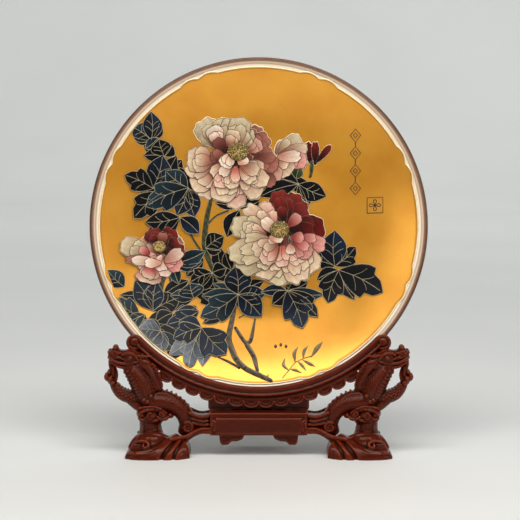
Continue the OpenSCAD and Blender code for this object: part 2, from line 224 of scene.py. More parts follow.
def prism(outline, y0, y1, bevel=0.8):
    """Solid with a front-view outline (x, z) between two depths, its two rims bevelled."""
    p = np.array(outline, float)
    if np.sum(p[:, 0] * np.roll(p[:, 1], -1) - np.roll(p[:, 0], -1) * p[:, 1]) < 0:
        p = p[::-1]
    edge = np.roll(p, -1, axis=0) - p
    normal = np.stack([edge[:, 1], -edge[:, 0]], axis=1)
    normal /= np.linalg.norm(normal, axis=1)[:, None] + 1e-9
    corner = normal + np.roll(normal, 1, axis=0)
    corner /= np.maximum(np.sum(corner * corner, axis=1)[:, None] / 2, 0.6)
    inner = p - corner * bevel
    layers = [(inner, y0), (p, y0 + bevel), (p, y1 - bevel), (inner, y1)]
    verts = np.concatenate([np.stack([q[:, 0], np.full(len(q), y), q[:, 1]], axis=1) for q, y in layers])
    n = len(p)
    faces = turned_over(grid_faces(4, n))
    faces.append(tuple(range(n)))
    faces.append(tuple(3 * n + j for j in range(n))[::-1])
    return verts, faces


def make_object(name, part, material, to_frame):
    """Mesh object from millimetre vertices placed in the shared frame."""
    verts, faces = part
    mesh = bpy.data.meshes.new(name)
    mesh.from_pydata((to_frame(verts) * MM).tolist(), [], faces)
    mesh.update()
    mesh.polygons.foreach_set("use_smooth", [True] * len(mesh.polygons))
    obj = bpy.data.objects.new(name, mesh)
    bpy.context.scene.collection.objects.link(obj)
    mesh.materials.append(material)
    return obj


def apply_modifier(obj, modifier):
    """Bakes an object's one modifier into its mesh."""
    graph = bpy.context.evaluated_depsgraph_get()
    mesh = bpy.data.meshes.new_from_object(obj.evaluated_get(graph))
    old = obj.data
    obj.modifiers.remove(modifier)
    obj.data = mesh
    mesh.name = old.name
    bpy.data.meshes.remove(old)


def neighbours_mean(values, edges, count):
    """Mean of each vertex's neighbours."""
    total = np.zeros_like(values)
    np.add.at(total, edges[:, 0], values[edges[:, 1]])
    np.add.at(total, edges[:, 1], values[edges[:, 0]])
    return total / count[:, None]


def mesh_arrays(mesh):
    """Vertex positions, edges, and how many edges meet at each vertex."""
    co = np.empty(len(mesh.vertices) * 3)
    mesh.vertices.foreach_get("co", co)
    edges = np.empty(len(mesh.edges) * 2, dtype=np.int64)
    mesh.edges.foreach_get("vertices", edges)
    edges = edges.reshape(-1, 2)
    count = np.bincount(edges.ravel(), minlength=len(mesh.vertices)).astype(float)
    return co.reshape(-1, 3), edges, np.maximum(count, 1)


def fuse(name, parts, voxel, to_frame=from_stand):
    """Melts overlapping closed parts into one lacquered carving."""
    obj = make_object(name, merge(parts), LACQUER, to_frame)
    remesh = obj.modifiers.new("Remesh", "REMESH")
    remesh.mode = "VOXEL"
    remesh.voxel_size = voxel * MM
    remesh.use_smooth_shade = True
    apply_modifier(obj, remesh)
    if not obj.data.materials:
        obj.data.materials.append(LACQUER)
    co, edges, count = mesh_arrays(obj.data)
    co = co * 0.5 + neighbours_mean(co, edges, count) * 0.5
    obj.data.vertices.foreach_set("co", co.ravel())
    obj.data.update()
    mark_hollows(obj)
    return obj


def mark_hollows(obj, rounds=14, gain=1300.0):
    """Stores how hollow (0), flat (0.5) or proud (1) each point is, for painted shade in the lacquer's
    hollows and for wear with painted highlight on its ridges.
    """
    mesh = obj.data
    co, edges, count = mesh_arrays(mesh)
    soft = co.copy()
    for _ in range(rounds):
        soft = soft * 0.4 + neighbours_mean(soft, edges, count) * 0.6
    normals = np.empty(len(mesh.vertices) * 3)
    mesh.vertices.foreach_get("normal", normals)
    # Low values darken the hollows as painted shade; high values lighten the ridges as wear and painted
    # highlight.
    proud = np.sum((co - soft) * normals.reshape(-1, 3), axis=1) * gain + 0.5
    layer = mesh.attributes.new("proud", "FLOAT", "POINT")
    layer.data.foreach_set("value", np.clip(proud, 0, 1).astype(np.float32))


# ---------------------------------------------------------------- materials
def to_linear(rgb):
    """Screen colours 0-255 to the renderer's linear values."""
    c = np.asarray(rgb, float) / 255
    return np.where(c <= 0.04045, c / 12.92, ((np.maximum(c, 0) + 0.055) / 1.055) ** 2.4)


def linear(rgb):
    """Screen colour 0-255 as an opaque linear colour."""
    return tuple(to_linear(rgb)) + (1.0,)


def grey(value):
    return (value, value, value, 1)


class Nodes:
    """Short way to write a node material."""

    def __init__(self, name):
        self.material = bpy.data.materials.new(name)
        self.material.use_nodes = True
        self.tree = self.material.node_tree
        self.shader = self.tree.nodes["Principled BSDF"]
        self.points = self.tree.nodes.new("ShaderNodeTexCoord").outputs["Object"]

    def add(self, kind, **values):
        node = self.tree.nodes.new("ShaderNode" + kind)
        for key, value in values.items():
            setattr(node, key, value)
        return node

    def link(self, source, target):
        self.tree.links.new(source, target)

    def put(self, **values):
        """Constants on the shader's sockets, underscores standing for spaces."""
        for key, value in values.items():
            self.shader.inputs[key.replace("_", " ")].default_value = value

    def noise(self, scale, detail=3.0, stretch=(1, 1, 1)):
        """Noise value; scale is in features a metre."""
        mapping = self.add("Mapping")
        mapping.inputs["Scale"].default_value = stretch
        self.link(self.points, mapping.inputs["Vector"])
        node = self.add("TexNoise")
        node.inputs["Scale"].default_value = scale
        node.inputs["Detail"].default_value = detail
        self.link(mapping.outputs["Vector"], node.inputs["Vector"])
        return node.outputs["Fac"]

    def ramp(self, source, *stops):
        """Colour ramp with (position, colour) stops."""
        node = self.add("ValToRGB")
        while len(node.color_ramp.elements) < len(stops):
            node.color_ramp.elements.new(0.5)
        for element, (position, colour) in zip(node.color_ramp.elements, stops):
            element.position = position
            element.color = colour
        self.link(source, node.inputs["Fac"])
        return node.outputs["Color"]

    def level(self, source, low, high, start=0.0, end=1.0):
        """Maps a value from start..end to low..high."""
        node = self.add("MapRange")
        for key, value in (("From Min", start), ("From Max", end), ("To Min", low), ("To Max", high)):
            node.inputs[key].default_value = value
        self.link(source, node.inputs["Value"])
        return node.outputs["Result"]

    def mix(self, factor, a, b, blend="MIX"):
        """Mixes two colours; each is a socket or a constant."""
        node = self.add("Mix", data_type="RGBA", blend_type=blend)
        for socket, value in ((node.inputs[0], factor), (node.inputs[6], a), (node.inputs[7], b)):
            if isinstance(value, bpy.types.NodeSocket):
                self.link(value, socket)
            else:
                socket.default_value = value
        return node.outputs[2]

    def attribute(self, name, output="Fac"):
        return self.add("Attribute", attribute_name=name).outputs[output]

    def bump(self, height, distance, strength):
        node = self.add("Bump")
        node.inputs["Distance"].default_value = distance * MM
        node.inputs["Strength"].default_value = strength
        self.link(height, node.inputs["Height"])
        self.link(node.outputs["Normal"], self.shader.inputs["Normal"])

    def base(self, colour):
        self.link(colour, self.shader.inputs["Base Color"])

    def base_product(self, colour, shade):
        """Base colour as one colour darkened or lightened by another."""
        self.base(self.mix(1.0, colour, shade, "MULTIPLY"))

    def rough(self, value):
        self.link(value, self.shader.inputs["Roughness"])


def lacquer():
    """Dark red-brown lacquer: painted shade makes it nearly black in the cuts, and the ridges turn warm brown
    as wear and painted highlight.
    """
    n = Nodes("lacquered_wood_look")
    proud = n.attribute("proud")
    # Painted shade in the hollows (low stops), wear and painted highlight on the ridges (high stops).
    body = n.ramp(proud, (0.24, linear((18, 2, 0))), (0.45, linear((64, 14, 2))),
                  (0.61, linear((86, 24, 7))), (0.90, linear((122, 44, 19))))
    grain = n.noise(900, 4, (0.25, 1, 1))
    n.base_product(body, n.ramp(grain, (0.3, (0.72, 0.70, 0.70, 1)), (0.7, (1.15, 1.1, 1.05, 1))))
    n.rough(n.level(n.noise(260, 3), 0.24, 0.42))
    n.bump(n.noise(1500, 3), 0.25, 0.3)
    n.put(Coat_Weight=0.26, Coat_Roughness=0.08, Coat_IOR=1.42)
    n.put(Specular_IOR_Level=0.16, Specular_Tint=(1, 0.5, 0.3, 1))
    return n.material


def porcelain():
    """Painted ground of the plate: vertex tint under a clear glaze."""
    n = Nodes("porcelain_look")
    cloud = n.level(n.noise(70, 3), 0.93, 1.05, 0.3, 0.7)
    n.base_product(n.attribute("tint", "Color"), n.ramp(cloud, (0, grey(0.9)), (1, grey(1))))
    n.rough(n.level(n.noise(400, 2), 0.16, 0.26))
    n.put(Coat_Weight=0.5, Coat_Roughness=0.08, Coat_IOR=1.5)
    return n.material


def gilding():
    """Satin gold under glaze, slightly cloudy, with a fine stipple."""
    n = Nodes("gilding_look")
    cloud = n.noise(36, 4)
    gold = n.ramp(cloud, (0.3, linear((232, 156, 44))), (0.7, linear((246, 174, 58))))
    n.base_product(gold, n.ramp(n.noise(2600, 2), (0.35, (0.93, 0.92, 0.9, 1)), (0.6, grey(1))))
    n.rough(n.level(n.noise(500, 2), 0.17, 0.23))
    n.bump(n.noise(1800, 2), 0.12, 0.12)
    n.put(Metallic=0.5, Coat_Weight=0.25, Coat_Roughness=0.26, Specular_IOR_Level=0.4)
    return n.material


def gold_line(name, dull, bright):
    """Paste gold of the raised outlines and veins."""
    n = Nodes(name)
    n.base(n.ramp(n.noise(700, 3), (0.3, linear(dull)), (0.7, linear(bright))))
    n.rough(n.level(n.noise(900, 2), 0.22, 0.4))
    n.put(Metallic=0.25, Coat_Weight=0.5)
    return n.material


def enamel(name, mottle, roughness, coat):
    """Overglaze enamel: vertex tint, brushed mottling, and the gloss of a thick glaze."""
    n = Nodes(name)
    brushed = n.ramp(n.noise(420, 4), (0.3, grey(1 - mottle)), (0.7, grey(1 + mottle)))
    n.base_product(n.attribute("tint", "Color"), brushed)
    n.rough(n.level(n.noise(600, 2), roughness * 0.8, roughness * 1.3))
    n.bump(n.noise(900, 3), 0.12, 0.25)
    n.put(Coat_Weight=coat, Coat_Roughness=0.05, Specular_IOR_Level=0.16)
    return n.material


def metal(name, colour, low, high):
    """Turned metal with fine scratches and a little tarnish."""
    n = Nodes(name)
    dull = tuple(c * 0.6 for c in linear(colour)[:3]) + (1,)
    n.base(n.ramp(n.noise(300, 4), (0.35, dull), (0.6, linear(colour))))
    n.rough(n.level(n.noise(1600, 3, (1, 1, 6)), low, high))
    n.put(Metallic=1.0)
    return n.material


def plain_wood():
    """Bare pale wood of the dowels."""
    n = Nodes("plain_wood_look")
    n.base(n.ramp(n.noise(700, 4, (1, 1, 0.12)), (0.35, linear((150, 104, 62))),
                  (0.65, linear((196, 152, 102)))))
    n.rough(n.level(n.noise(500, 2), 0.5, 0.7))
    return n.material


def felt():
    """Dark green felt of the backrest's pads."""
    n = Nodes("felt_look")
    n.base(n.ramp(n.noise(2400, 4), (0.35, linear((28, 40, 30))), (0.65, linear((52, 70, 54)))))
    n.rough(n.level(n.noise(900, 3), 0.85, 0.98))
    n.bump(n.noise(3000, 4), 0.4, 0.8)
    n.put(Sheen_Weight=0.4, Sheen_Roughness=0.5)
    return n.material


def floor_paint():
    """Pale paper of the floor and the wall."""
    n = Nodes("floor_look")
    n.base(n.ramp(n.noise(3, 2), (0.3, linear((226, 227, 226))), (0.7, linear((232, 232, 230)))))
    n.rough(n.level(n.noise(40, 2), 0.7, 0.8))
    return n.material


LACQUER = lacquer()
PORCELAIN = porcelain()
GILDING = gilding()
GOLD_LINE = gold_line("gold_line_look", (244, 222, 176), (255, 248, 224))
VEIN_GOLD = gold_line("vein_gold_look", (150, 134, 100), (206, 192, 152))
PETAL_ENAMEL = enamel("blossom_enamel_look", 0.10, 0.22, 0.6)
LEAF_ENAMEL = enamel("leaf_enamel_look", 0.22, 0.30, 0.16)
BRANCH_ENAMEL = enamel("branch_enamel_look", 0.30, 0.24, 0.5)
GLAZE = enamel("brown_glaze_look", 0.12, 0.16, 0.7)
BRASS = metal("brass_look", (196, 150, 78), 0.28, 0.5)
STEEL = metal("steel_look", (170, 172, 176), 0.25, 0.45)
WOOD = plain_wood()
FELT = felt()


# ---------------------------------------------------------------- the stand, carved parts
# They are those of the right side. The left side is their mirror image.
FRONT = -16.0
BACK = 8.0
MIDDLE = -4.0


def both_faces(parts):
    """Adds to parts on the front of a carving their reflections on its back."""
    return parts + [(np.asarray(v) * [1, -1, 1] + [0, 2 * MIDDLE, 0], turned_over(f)) for v, f in parts]


def rows(y, *points):
    """Tube rows at one depth from (x, z, radius) points."""
    return [(x, y, z, r) for x, z, r in points]


def ring_point(path, i, angle, depth, lift):
    """Point on a tube's skin beside path[i]; angle 0 is its outer side, 90 its front."""
    tangent = path[min(i + 1, len(path) - 1), :3] - path[max(i - 1, 0), :3]
    side = np.cross(tangent, Y_AXIS)
    side /= np.linalg.norm(side)
    r = path[i, 3] + lift
    a = math.radians(angle)
    return path[i, :3] + side * r * math.cos(a) - Y_AXIS * r * depth * math.sin(a)


def strand(sides, y, *points, depth=1.0):
    """Tube at one depth through (x, z, radius) points."""
    return tube(rows(y, *points), sides, depth)


def swirl(centre, radius, turns, start, thick, y, flip=1, sides=8):
    """Tube that winds inwards."""
    return tube(spiral(centre, radius, turns, start, thick, y, flip), sides)


def scales(path, first, last, angles, size, depth):
    """Overlapping scales in staggered rows on the front of a tube; angles is a range of degrees."""
    parts = []
    for k, i in enumerate(range(first, last, 2)):
        for a in angles:
            point = ring_point(path, i, a + (k % 2) * angles.step / 2, depth, -0.15)
            parts.append(blob(point, (size, size * 0.75, size), rings=6, sides=8))
    return parts


BODY_ROWS = rows(MIDDLE, (99, 70, 5.6), (96.5, 65.5, 6.4), (92.5, 60, 7.6), (89, 54.5, 8.4),
                 (86.5, 49, 8.4), (84.5, 44, 7.6), (80.5, 40.6, 7.2), (75, 40, 7.2), (69, 39.4, 7.2),
                 (63, 36.8, 7.0), (58, 32.4, 6.8), (55.4, 27.4, 6.4), (55, 22, 5.8), (57, 17.5, 4.6))
BODY_DEPTH = 1.3


def dragon_body():
    """Neck, belly ribs, arched back with scales and fins."""
    path = spline(BODY_ROWS, 9)
    parts = [tube(BODY_ROWS, 24, BODY_DEPTH)]
    detail = scales(path, 12, 46, range(92, 158, 13), 0.95, BODY_DEPTH)
    detail += scales(path, 48, 108, range(58, 150, 13), 0.95, BODY_DEPTH)
    for i in range(9, 42, 4):
        ring = [ring_point(path, i, a, BODY_DEPTH, -0.7) for a in range(-10, 73, 16)]
        detail.append(tube(with_last(ring, 1.5), 8))
    for x, z in ((73.4, 48.0), (70.0, 47.8), (66.6, 46.6), (63.2, 44.8), (60.0, 42.4), (57.0, 39.8),
                 (54.4, 36.8), (52.4, 33.6)):
        detail.append(strand(10, MIDDLE - 1, (x + 0.6, z - 2.6, 2.2), (x, z - 0.4, 1.5),
                             (x - 0.8, z + 0.8, 0.7)))
    ridge = rows(MIDDLE - 5.8, (78, 46.2, 0.7), (74, 46.8, 0.8), (69, 46.0, 0.8), (64, 43.6, 0.8),
                 (59.4, 39.8, 0.8), (55.4, 35.2, 0.8), (52.8, 30, 0.7))
    detail.append(tube(ridge, 8))
    return parts + both_faces(detail)


def dragon_head():
    """Head in profile: heavy snout with a nose knob, closed mouth, eye, brow, locks swept back."""
    outline = [(92, 66), (99.8, 65.2), (105.1, 66), (109.7, 68.6), (112.4, 71.4), (114.2, 74.4),
               (113.6, 77.4), (111, 80.4), (108.4, 81.6), (105.6, 80.6), (104.6, 79.4), (101.7, 79.2),
               (98.4, 79.8), (94, 79.2), (90, 77), (88.4, 72), (89.2, 67)]
    parts = [prism(outline, -9.6, 1.6, 2.6)]
    face = [blob((97.6, -8.6, 73.6), (6, 3.4, 5.2)),
            blob((108.6, -8.4, 76.6), (5.0, 3.4, 3.4)),
            blob((108.2, -6, 81.2), (2.2, 3.4, 2.2)),
            blob((112.4, -8.6, 78.2), (1.8, 1.9, 1.8)),
            strand(10, -10.6, (113.2, 74.4, 0.9), (110.3, 72.9, 1.2), (106.4, 70.7, 1.2),
                   (101.1, 69.8, 1.2), (95.6, 70.2, 1.1), (91.6, 71.2, 0.8)),
            strand(10, -10.0, (111.0, 70.6, 0.9), (106.2, 67.6, 1.1), (101, 66.6, 1.2), (95.6, 66.9, 1.1),
                   (91, 67.6, 0.8)),
            strand(10, -11.4, (103, 76.2, 0.7), (100.2, 77.6, 1.2), (96.6, 77.6, 1.4), (93.2, 76, 1.1),
                   (91.6, 73.6, 0.8)),
            blob((96.8, -11.8, 74.2), (1.7, 1.2, 1.5)),
            swirl((96.8, 74.2), 2.7, 0.9, 20, 0.55, -11.6),
            strand(8, -11.2, (110.4, 75.6, 0.6), (107.4, 74.4, 0.8), (104.4, 74.6, 0.8),
                   (102.2, 73.2, 0.6)),
            strand(8, -11.0, (108.6, 79.4, 0.6), (105.8, 77.8, 0.8), (103.6, 78.4, 0.6))]
    for z, lean in ((75.8, 0), (72.6, -2), (69.6, -4.4)):
        face.append(strand(10, -9.0, (93, z, 1.2), (90.4, z - 0.6 + lean * 0.2, 1.3),
                           (86.4, z - 0.8 + lean * 0.6, 1.1), (82.6, z - 0.6 + lean, 0.7)))
    for x, z in ((110.2, 71.4), (107.8, 69.8), (105.2, 68.8)):
        face.append(blob((x, -9.8, z), (0.6, 0.6, 1.0), rings=6, sides=8))
    return parts + both_faces(face)


def dragon_mane():
    """Locks that fall behind the neck."""
    parts = [strand(14, MIDDLE, (90, 72, 4.5), (84, 66, 4.8), (79.6, 59, 4.2), (77, 53, 3.4),
                    (76, 48.4, 2.6), depth=1.4)]
    locks = []
    for k in range(4):
        x = 79.8 - k * 1.9
        locks.append(strand(8, -8.6 + k * 0.9, (x + 6, 68 - k, 1.0), (x + 1.4, 63 - k, 1.25),
                            (x + 1.2, 57, 1.2), (x - 0.6, 52, 1.1), (x + 0.4, 47.6, 0.7)))
    for x, z, r in ((80, 68.4, 1.9), (84.6, 71, 1.8), (77.6, 64.8, 1.7)):
        locks.append(swirl((x, z), r, 1.2, 200, 0.8, -8.6))
    return parts + both_faces(locks)


def dragon_arm():
    """Forearm raised in front of the chest, its paw and the pearl it holds."""
    parts = [strand(16, MIDDLE, (110.6, 55, 2.8), (108.4, 50.6, 3.8), (104.4, 46, 4.6), (99, 43.8, 5.2),
                    (93, 43.6, 5.4), (87, 43.4, 5.2), depth=1.25),
             strand(14, MIDDLE, (97, 41, 4.0), (92, 37.4, 4.4), (88, 34.6, 4.2), depth=1.5),
             blob((114.0, MIDDLE, 58.4), (3.3, 4.2, 3.3)),
             blob((110.4, MIDDLE, 63.0), (2.4, 3.4, 5.6)),
             blob((111.6, MIDDLE, 55.4), (3.0, 4.4, 2.8)),
             strand(10, MIDDLE, (112.6, 61, 2.0), (111.6, 64.6, 1.7), (112.2, 68.2, 1.7),
                    (112.2, 72, 1.6), depth=1.5),
             strand(10, MIDDLE, (108.4, 56.4, 1.5), (107.6, 60.4, 1.3), (108.4, 64, 1.3),
                    (109.4, 67, 1.3), depth=1.4)]
    paw = [blob((115.2, -8, 59.6), (1.9, 1.7, 1.9)),
           blob((112.4, -8.4, 57.6), (2.0, 1.8, 2.0)),
           blob((110.6, -8.2, 54.6), (2.0, 1.8, 1.7)),
           blob((113.4, -7.4, 62.6), (1.5, 1.5, 1.5)),
           swirl((113.6, 58.6), 2.6, 1.0, 150, 0.7, -8.4)]
    path = spline(rows(MIDDLE, (109.6, 53.6, 3.2), (107.4, 49.6, 4.1), (103.6, 46, 4.8), (98.6, 44, 5.2),
                       (92, 43.4, 5.4)), 6)
    paw += scales(path, 2, 23, range(50, 135, 28), 1.0, 1.25)
    for x, z in ((86.4, 42.4), (81.2, 45.4), (84.0, 41.0)):
        paw.append(blob((x, -13.2, z), (1.7, 1.8, 1.6)))
    return parts + both_faces(paw)


def dragon_tail():
    """Haunch curled on the foot, and the tail that runs into the block."""
    parts = [blob((54.4, MIDDLE, 20.6), (5.6, 9.5, 5.6)),
             prism([(36.6, 22), (36.6, 30.8), (45, 30.2), (50.4, 32), (54, 30), (54, 19), (50, 19.6),
                    (44, 21.8)], FRONT + 3.5, 0, 2.0)]
    curls = [swirl((53.6, 21.4), 4.2, 1.7, 60, 1.2, -13.2, sides=10),
             strand(10, -12.6, (52, 32.4, 1.5), (46.8, 30, 1.5), (42.2, 29.4, 1.5), (37.2, 30.4, 1.4)),
             strand(10, -12.4, (50, 27.8, 1.2), (45, 26.4, 1.3), (41, 25.8, 1.1), (38.2, 26.4, 0.8)),
             strand(10, -12.4, (50, 24.6, 1.0), (45.4, 23.8, 1.2), (40.8, 23.2, 1.1), (37.4, 23.6, 0.9))]
    path = spline(rows(MIDDLE, (51.4, 27, 5.4), (46, 27, 4.8), (39, 27, 4.6)), 6)
    curls += scales(path, 1, 12, range(60, 113, 26), 1.1, 1.4)
    return parts + both_faces(curls)


def pedestal_parts():
    """Cloud under the dragon and the waisted column it rises from."""
    parts = [strand(20, MIDDLE, (82, 11, 11.4), (82, 15.4, 9.6), (82.2, 20, 8.3), (82.2, 24.4, 8.4),
                    (81, 28, 9), depth=1.1),
             blob((82, -11, 12.4), (11, 10, 5.4)),
             blob((88, -9, 11), (7.4, 11, 5.4)),
             tube([(96, -12, 6, 3), (91.5, -13, 11, 4), (84, -14, 14, 4), (76, -13, 14, 4),
                   (70, -12, 12.5, 3)], 16),
             blob((88.4, MIDDLE, 31), (4.6, 10.6, 4.2)),
             blob((80.4, MIDDLE, 30.2), (5.6, 11.4, 4.6)),
             blob((72.2, MIDDLE, 30.6), (5.0, 10.2, 4.0)),
             blob((67.0, MIDDLE, 30.2), (3.2, 8.4, 3.2)),
             blob((79.6, MIDDLE, 35.4), (12, 10.2, 4.6))]
    front = []
    for x0, x1, z in ((90.6, 85.4, 27.0), (85.2, 76.2, 26.2), (76.0, 68.4, 27.6)):
        mid = (x0 + x1) / 2
        front.append(strand(10, -12.8, (x0, z + 1.8, 0.9), (x0 - 1.0, z + 0.5, 1.2), (mid, z, 1.4),
                            (x1 + 1.0, z + 0.5, 1.2), (x1, z + 1.8, 0.9)))
    front += [swirl((81.6, 30.6), 2.8, 1.4, 250, 0.9, -14.2),
              swirl((73.8, 31.4), 2.2, 1.3, 250, 0.8, -13.2, -1),
              strand(8, -13.6, (89.8, 31.4, 0.9), (88, 33.4, 1.2), (84.6, 34.4, 1.3), (80, 35.4, 1.2)),
              strand(8, -13.0, (90, 36.2, 0.9), (85, 36.8, 1.2), (79, 37, 1.2), (74, 35.6, 1.0)),
              strand(8, -12.4, (69.6, 32.4, 0.8), (72.6, 34.2, 1.0), (77.4, 34.2, 0.9))]
    for x in (75.8, 79.2, 83, 86.8):
        front.append(strand(8, -11.2, (x, 22.6, 0.8), (x + (x - 82) * 0.1, 19, 1.2),
                            (x + (x - 82) * 0.25, 15.6, 0.9)))
    front.append(strand(10, -12.4, (92.0, 14.2, 1.2), (87, 14.8, 1.4), (81, 14.8, 1.3), (76, 13.6, 1.0)))
    return parts + both_faces(front)


def bump_at(value, centre, width):
    """Bell curve: 1 at the centre, falling off over the width."""
    return np.exp(-((value - centre) / width) ** 2)


def foot_parts():
    """Splayed foot: an upturned toe with a swirl on its outer half, drapery folds on its inner half."""
    top_line = spline([(51.8, 3.4), (52.4, 7.4), (54.2, 10.6), (57, 12.6), (60, 14.6), (63, 16.4),
                       (67.9, 14.2), (72, 15.6), (75, 15.6), (82, 15.8), (89, 15.6), (91.4, 14.6),
                       (94.7, 10.2), (96.9, 6.2), (99.2, 3.6), (100.6, 1.6)], 5)
    x = np.arange(51.8, 100.61, 0.45)
    ceiling = np.interp(x, top_line[:, 0], top_line[:, 1])
    t = np.linspace(0, 1, 40)
    gx, gt = np.meshgrid(x, t, indexing="ij")
    gz = gt * ceiling[:, None]
    plan = 1 - np.clip(np.abs(gx - 77) / 24, 0, 1) ** 4
    toe = -FOOT_FRONT + 7 * (1 - plan)
    front = toe + (FRONT + 1 - toe) * (gz / 16) ** 2.2
    ridge_x = [66, 68.6, 74.5, 81, 86.2, 92, 96]
    ridge_z = [15.5, 13.4, 9.2, 6.2, 5.6, 5.2, 4.4]
    ridge = np.interp(gx, ridge_x, ridge_z)
    outer = 1 / (1 + np.exp(69.5 - gx))
    above = 1 / (1 + np.exp(-(gz - ridge) / 0.7))
    front += outer * (3.4 * above * np.clip((16 - gz) / 6, 0, 1) - 1.4 * bump_at(gz, ridge, 1.3))
    dip = np.interp(gz, [0, 4.8, 9.4, 15.4], [73.2, 70.6, 66.6, 60.1])
    second = np.interp(gz, [0, 6.1, 12.1, 16], [64.1, 62.1, 57.5, 54])
    front += 3.2 * bump_at(gx, dip, 1.9) + 2.6 * bump_at(gx, second, 1.6)
    front -= 1.6 * bump_at(gx, 53.6, 2.4) * bump_at(gz, 6.8, 3)
    heel = np.interp(gx, [51, 60, 72, 75, 90, 92, 96, 101], [3, 8, 12, FOOT_BACK, FOOT_BACK, 12, 2, -14])
    crest = np.interp(gx, [51, 60, 73, 76, 89, 92, 101], [-9, -9, -8, BACK, BACK, -7, -16])
    back = heel + (crest - heel) * np.clip((gz - 4) / 12, 0, 1) ** 0.5
    n, m = gx.shape
    verts = np.concatenate([np.stack([gx, front, gz], -1).reshape(-1, 3),
                            np.stack([gx, back, gz], -1).reshape(-1, 3)])
    sheet = grid_faces(n, m, wrap=False)
    faces = sheet + [tuple(i + n * m for i in face) for face in turned_over(sheet)]
    rim = [i * m for i in range(n)] + [(n - 1) * m + j for j in range(1, m)]
    rim += [i * m + m - 1 for i in range(n - 2, -1, -1)] + list(range(m - 2, 0, -1))
    for a, b in zip(rim, rim[1:] + rim[:1]):
        faces.append((a, b, b + n * m, a + n * m))
    parts = [(verts, faces)]
    curl = [(94.0, -19, 10.6, 0.9), (90.6, -21.4, 12.2, 1.2), (86.4, -22.2, 12.6, 1.3),
            (83.2, -23, 11.2, 1.3), (82.8, -24.4, 9.4, 1.2), (84.8, -25, 8.2, 1.1), (86.8, -24.2, 9, 1.0),
            (86.6, -23.4, 10.2, 0.9)]
    toe_curl = [(97.6, -26, 4.6, 1.2), (95.8, -28.6, 5.4, 1.4), (93.8, -29.2, 4.4, 1.3),
                (93.8, -29.4, 2.6, 1.1), (95.6, -29, 2.4, 0.9)]
    crest_line = [(93, -28, 5.2, 0.8), (88.6, -28.6, 5.4, 1.3), (84, -28.2, 5.8, 1.5),
                  (78.6, -26.6, 7.2, 1.5), (74, -24.4, 9.2, 1.5), (70.6, -21, 11.8, 1.4),
                  (67, -17.6, 14, 1.0)]
    parts += [tube(curl, 8), tube(toe_curl, 8), tube(crest_line, 8)]
    return parts


def arch_rail_parts():
    """Moulded strip springing from the block down into the foot."""
    line = [(36.4, 18.9), (42.9, 19.0), (48.4, 17.2), (53, 14.2), (56.6, 10.8), (59, 8)]
    parts = []
    for y, r, drop in ((-14.4, 1.7, 0.6), (-12.6, 2.4, -0.4), (MIDDLE, 2.4, -0.4)):
        parts.append(tube([(x, y, z - drop, r) for x, z in line], 12))
    outline = [(36.4, 16.8), (42.4, 16.8), (47.4, 15.2), (52, 12), (55, 8), (60, 8), (57.4, 12.4),
               (53.6, 16), (48.6, 19), (43, 20.8), (36.4, 20.9)]
    parts.append(prism(outline, FRONT + 3, -1, 1.0))
    sweep = [(36.8, -14.6, 20.6, 0.9), (43, -14.8, 20.4, 1.1), (49, -15.6, 18.2, 1.3),
             (54, -17.2, 15.6, 1.5), (60, -18.8, 14.4, 1.6), (66, -20.6, 13.6, 1.6)]
    parts.append(tube(sweep, 12))
    return parts


# ---------------------------------------------------------------- the stand, turned and joined parts
def rail_parts():
    """Cradle rail: lip with a bead, plain band below it, groove for the plate, round ends."""
    section = [(124.4, 0.8), (124.4, 5.2), (125.2, 6.4), (127.0, 7.0), (128.8, 6.7), (129.9, 6.3),
               (130.5, 7.2), (131.4, 7.3), (132.1, 6.4), (132.7, 5.4), (133.8, 4.9), (135.2, 4.6),
               (135.2, -12.6), (134, -14), (127, -14), (125.5, -12.8), (125.5, -10.4), (126.3, -9.5),
               (130.3, -9.5), (130.3, 0.2), (129.6, 0.8)]
    down = math.radians(270)
    parts = [lathe(section, down - RAIL_HALF_ANGLE, down + RAIL_HALF_ANGLE, 180)]
    for side in (-1, 1):
        a = down + side * RAIL_HALF_ANGLE
        centre = np.array([CAP_MID * math.cos(a), CAP_MID * math.sin(a), 0])
        cap = [(0.05, -14), (CAP_R - 0.8, -14), (CAP_R, -13), (CAP_R, 5.2), (CAP_R - 0.6, 6.4),
               (CAP_R - 1.8, 6.9), (CAP_R - 2.6, 6.0), (CAP_R - 3.2, 6.6), (2.0, 7.3), (0.05, 7.4)]
        v, f = lathe(cap, steps=48)
        parts.append((v + centre, f))
    return parts


def scallop_parts():
    """Row of small fans hanging under the rail, each with a raised edge and an inner arc."""
    parts = []
    half = RAIL_R * math.radians(SCALLOP_PITCH / 2)
    for k in range(SCALLOPS):
        a = math.radians(270 + (k - (SCALLOPS - 1) / 2) * SCALLOP_PITCH)
        out = np.array([math.cos(a), math.sin(a), 0])
        across = np.array([-out[1], out[0], 0])

        def at(u, r, z):
            return out * (RAIL_R + r) + across * u * half + np.array([0, 0, z])

        arc = [(u, 1.0 + 4.4 * math.sqrt(max(0, 1 - abs(u) ** 2.4))) for u in np.linspace(-1, 1, 13)]
        outline = [(-1, -3)] + arc + [(1, -3)]
        n = len(outline)
        verts = np.array([at(u, r, z) for z in (-3.4, 4.0) for u, r in outline])
        faces = [tuple(range(n))[::-1], tuple(range(n, 2 * n))]
        faces += [(i, (i + 1) % n, (i + 1) % n + n, i + n) for i in range(n)]
        parts.append((verts, faces))
        lip = with_last([at(u * 0.96, r - 0.3, 4.2) for u, r in arc], 0.6)
        inner = with_last([at(u * 0.6, (r - 1) * 0.55 + 0.6, 4.0) for u, r in arc], 0.4)
        parts.append(tube(inner, 8, per_span=2, axis=PLATE_AXIS))
        parts.append(tube(lip, 8, per_span=2, axis=PLATE_AXIS))
    return parts


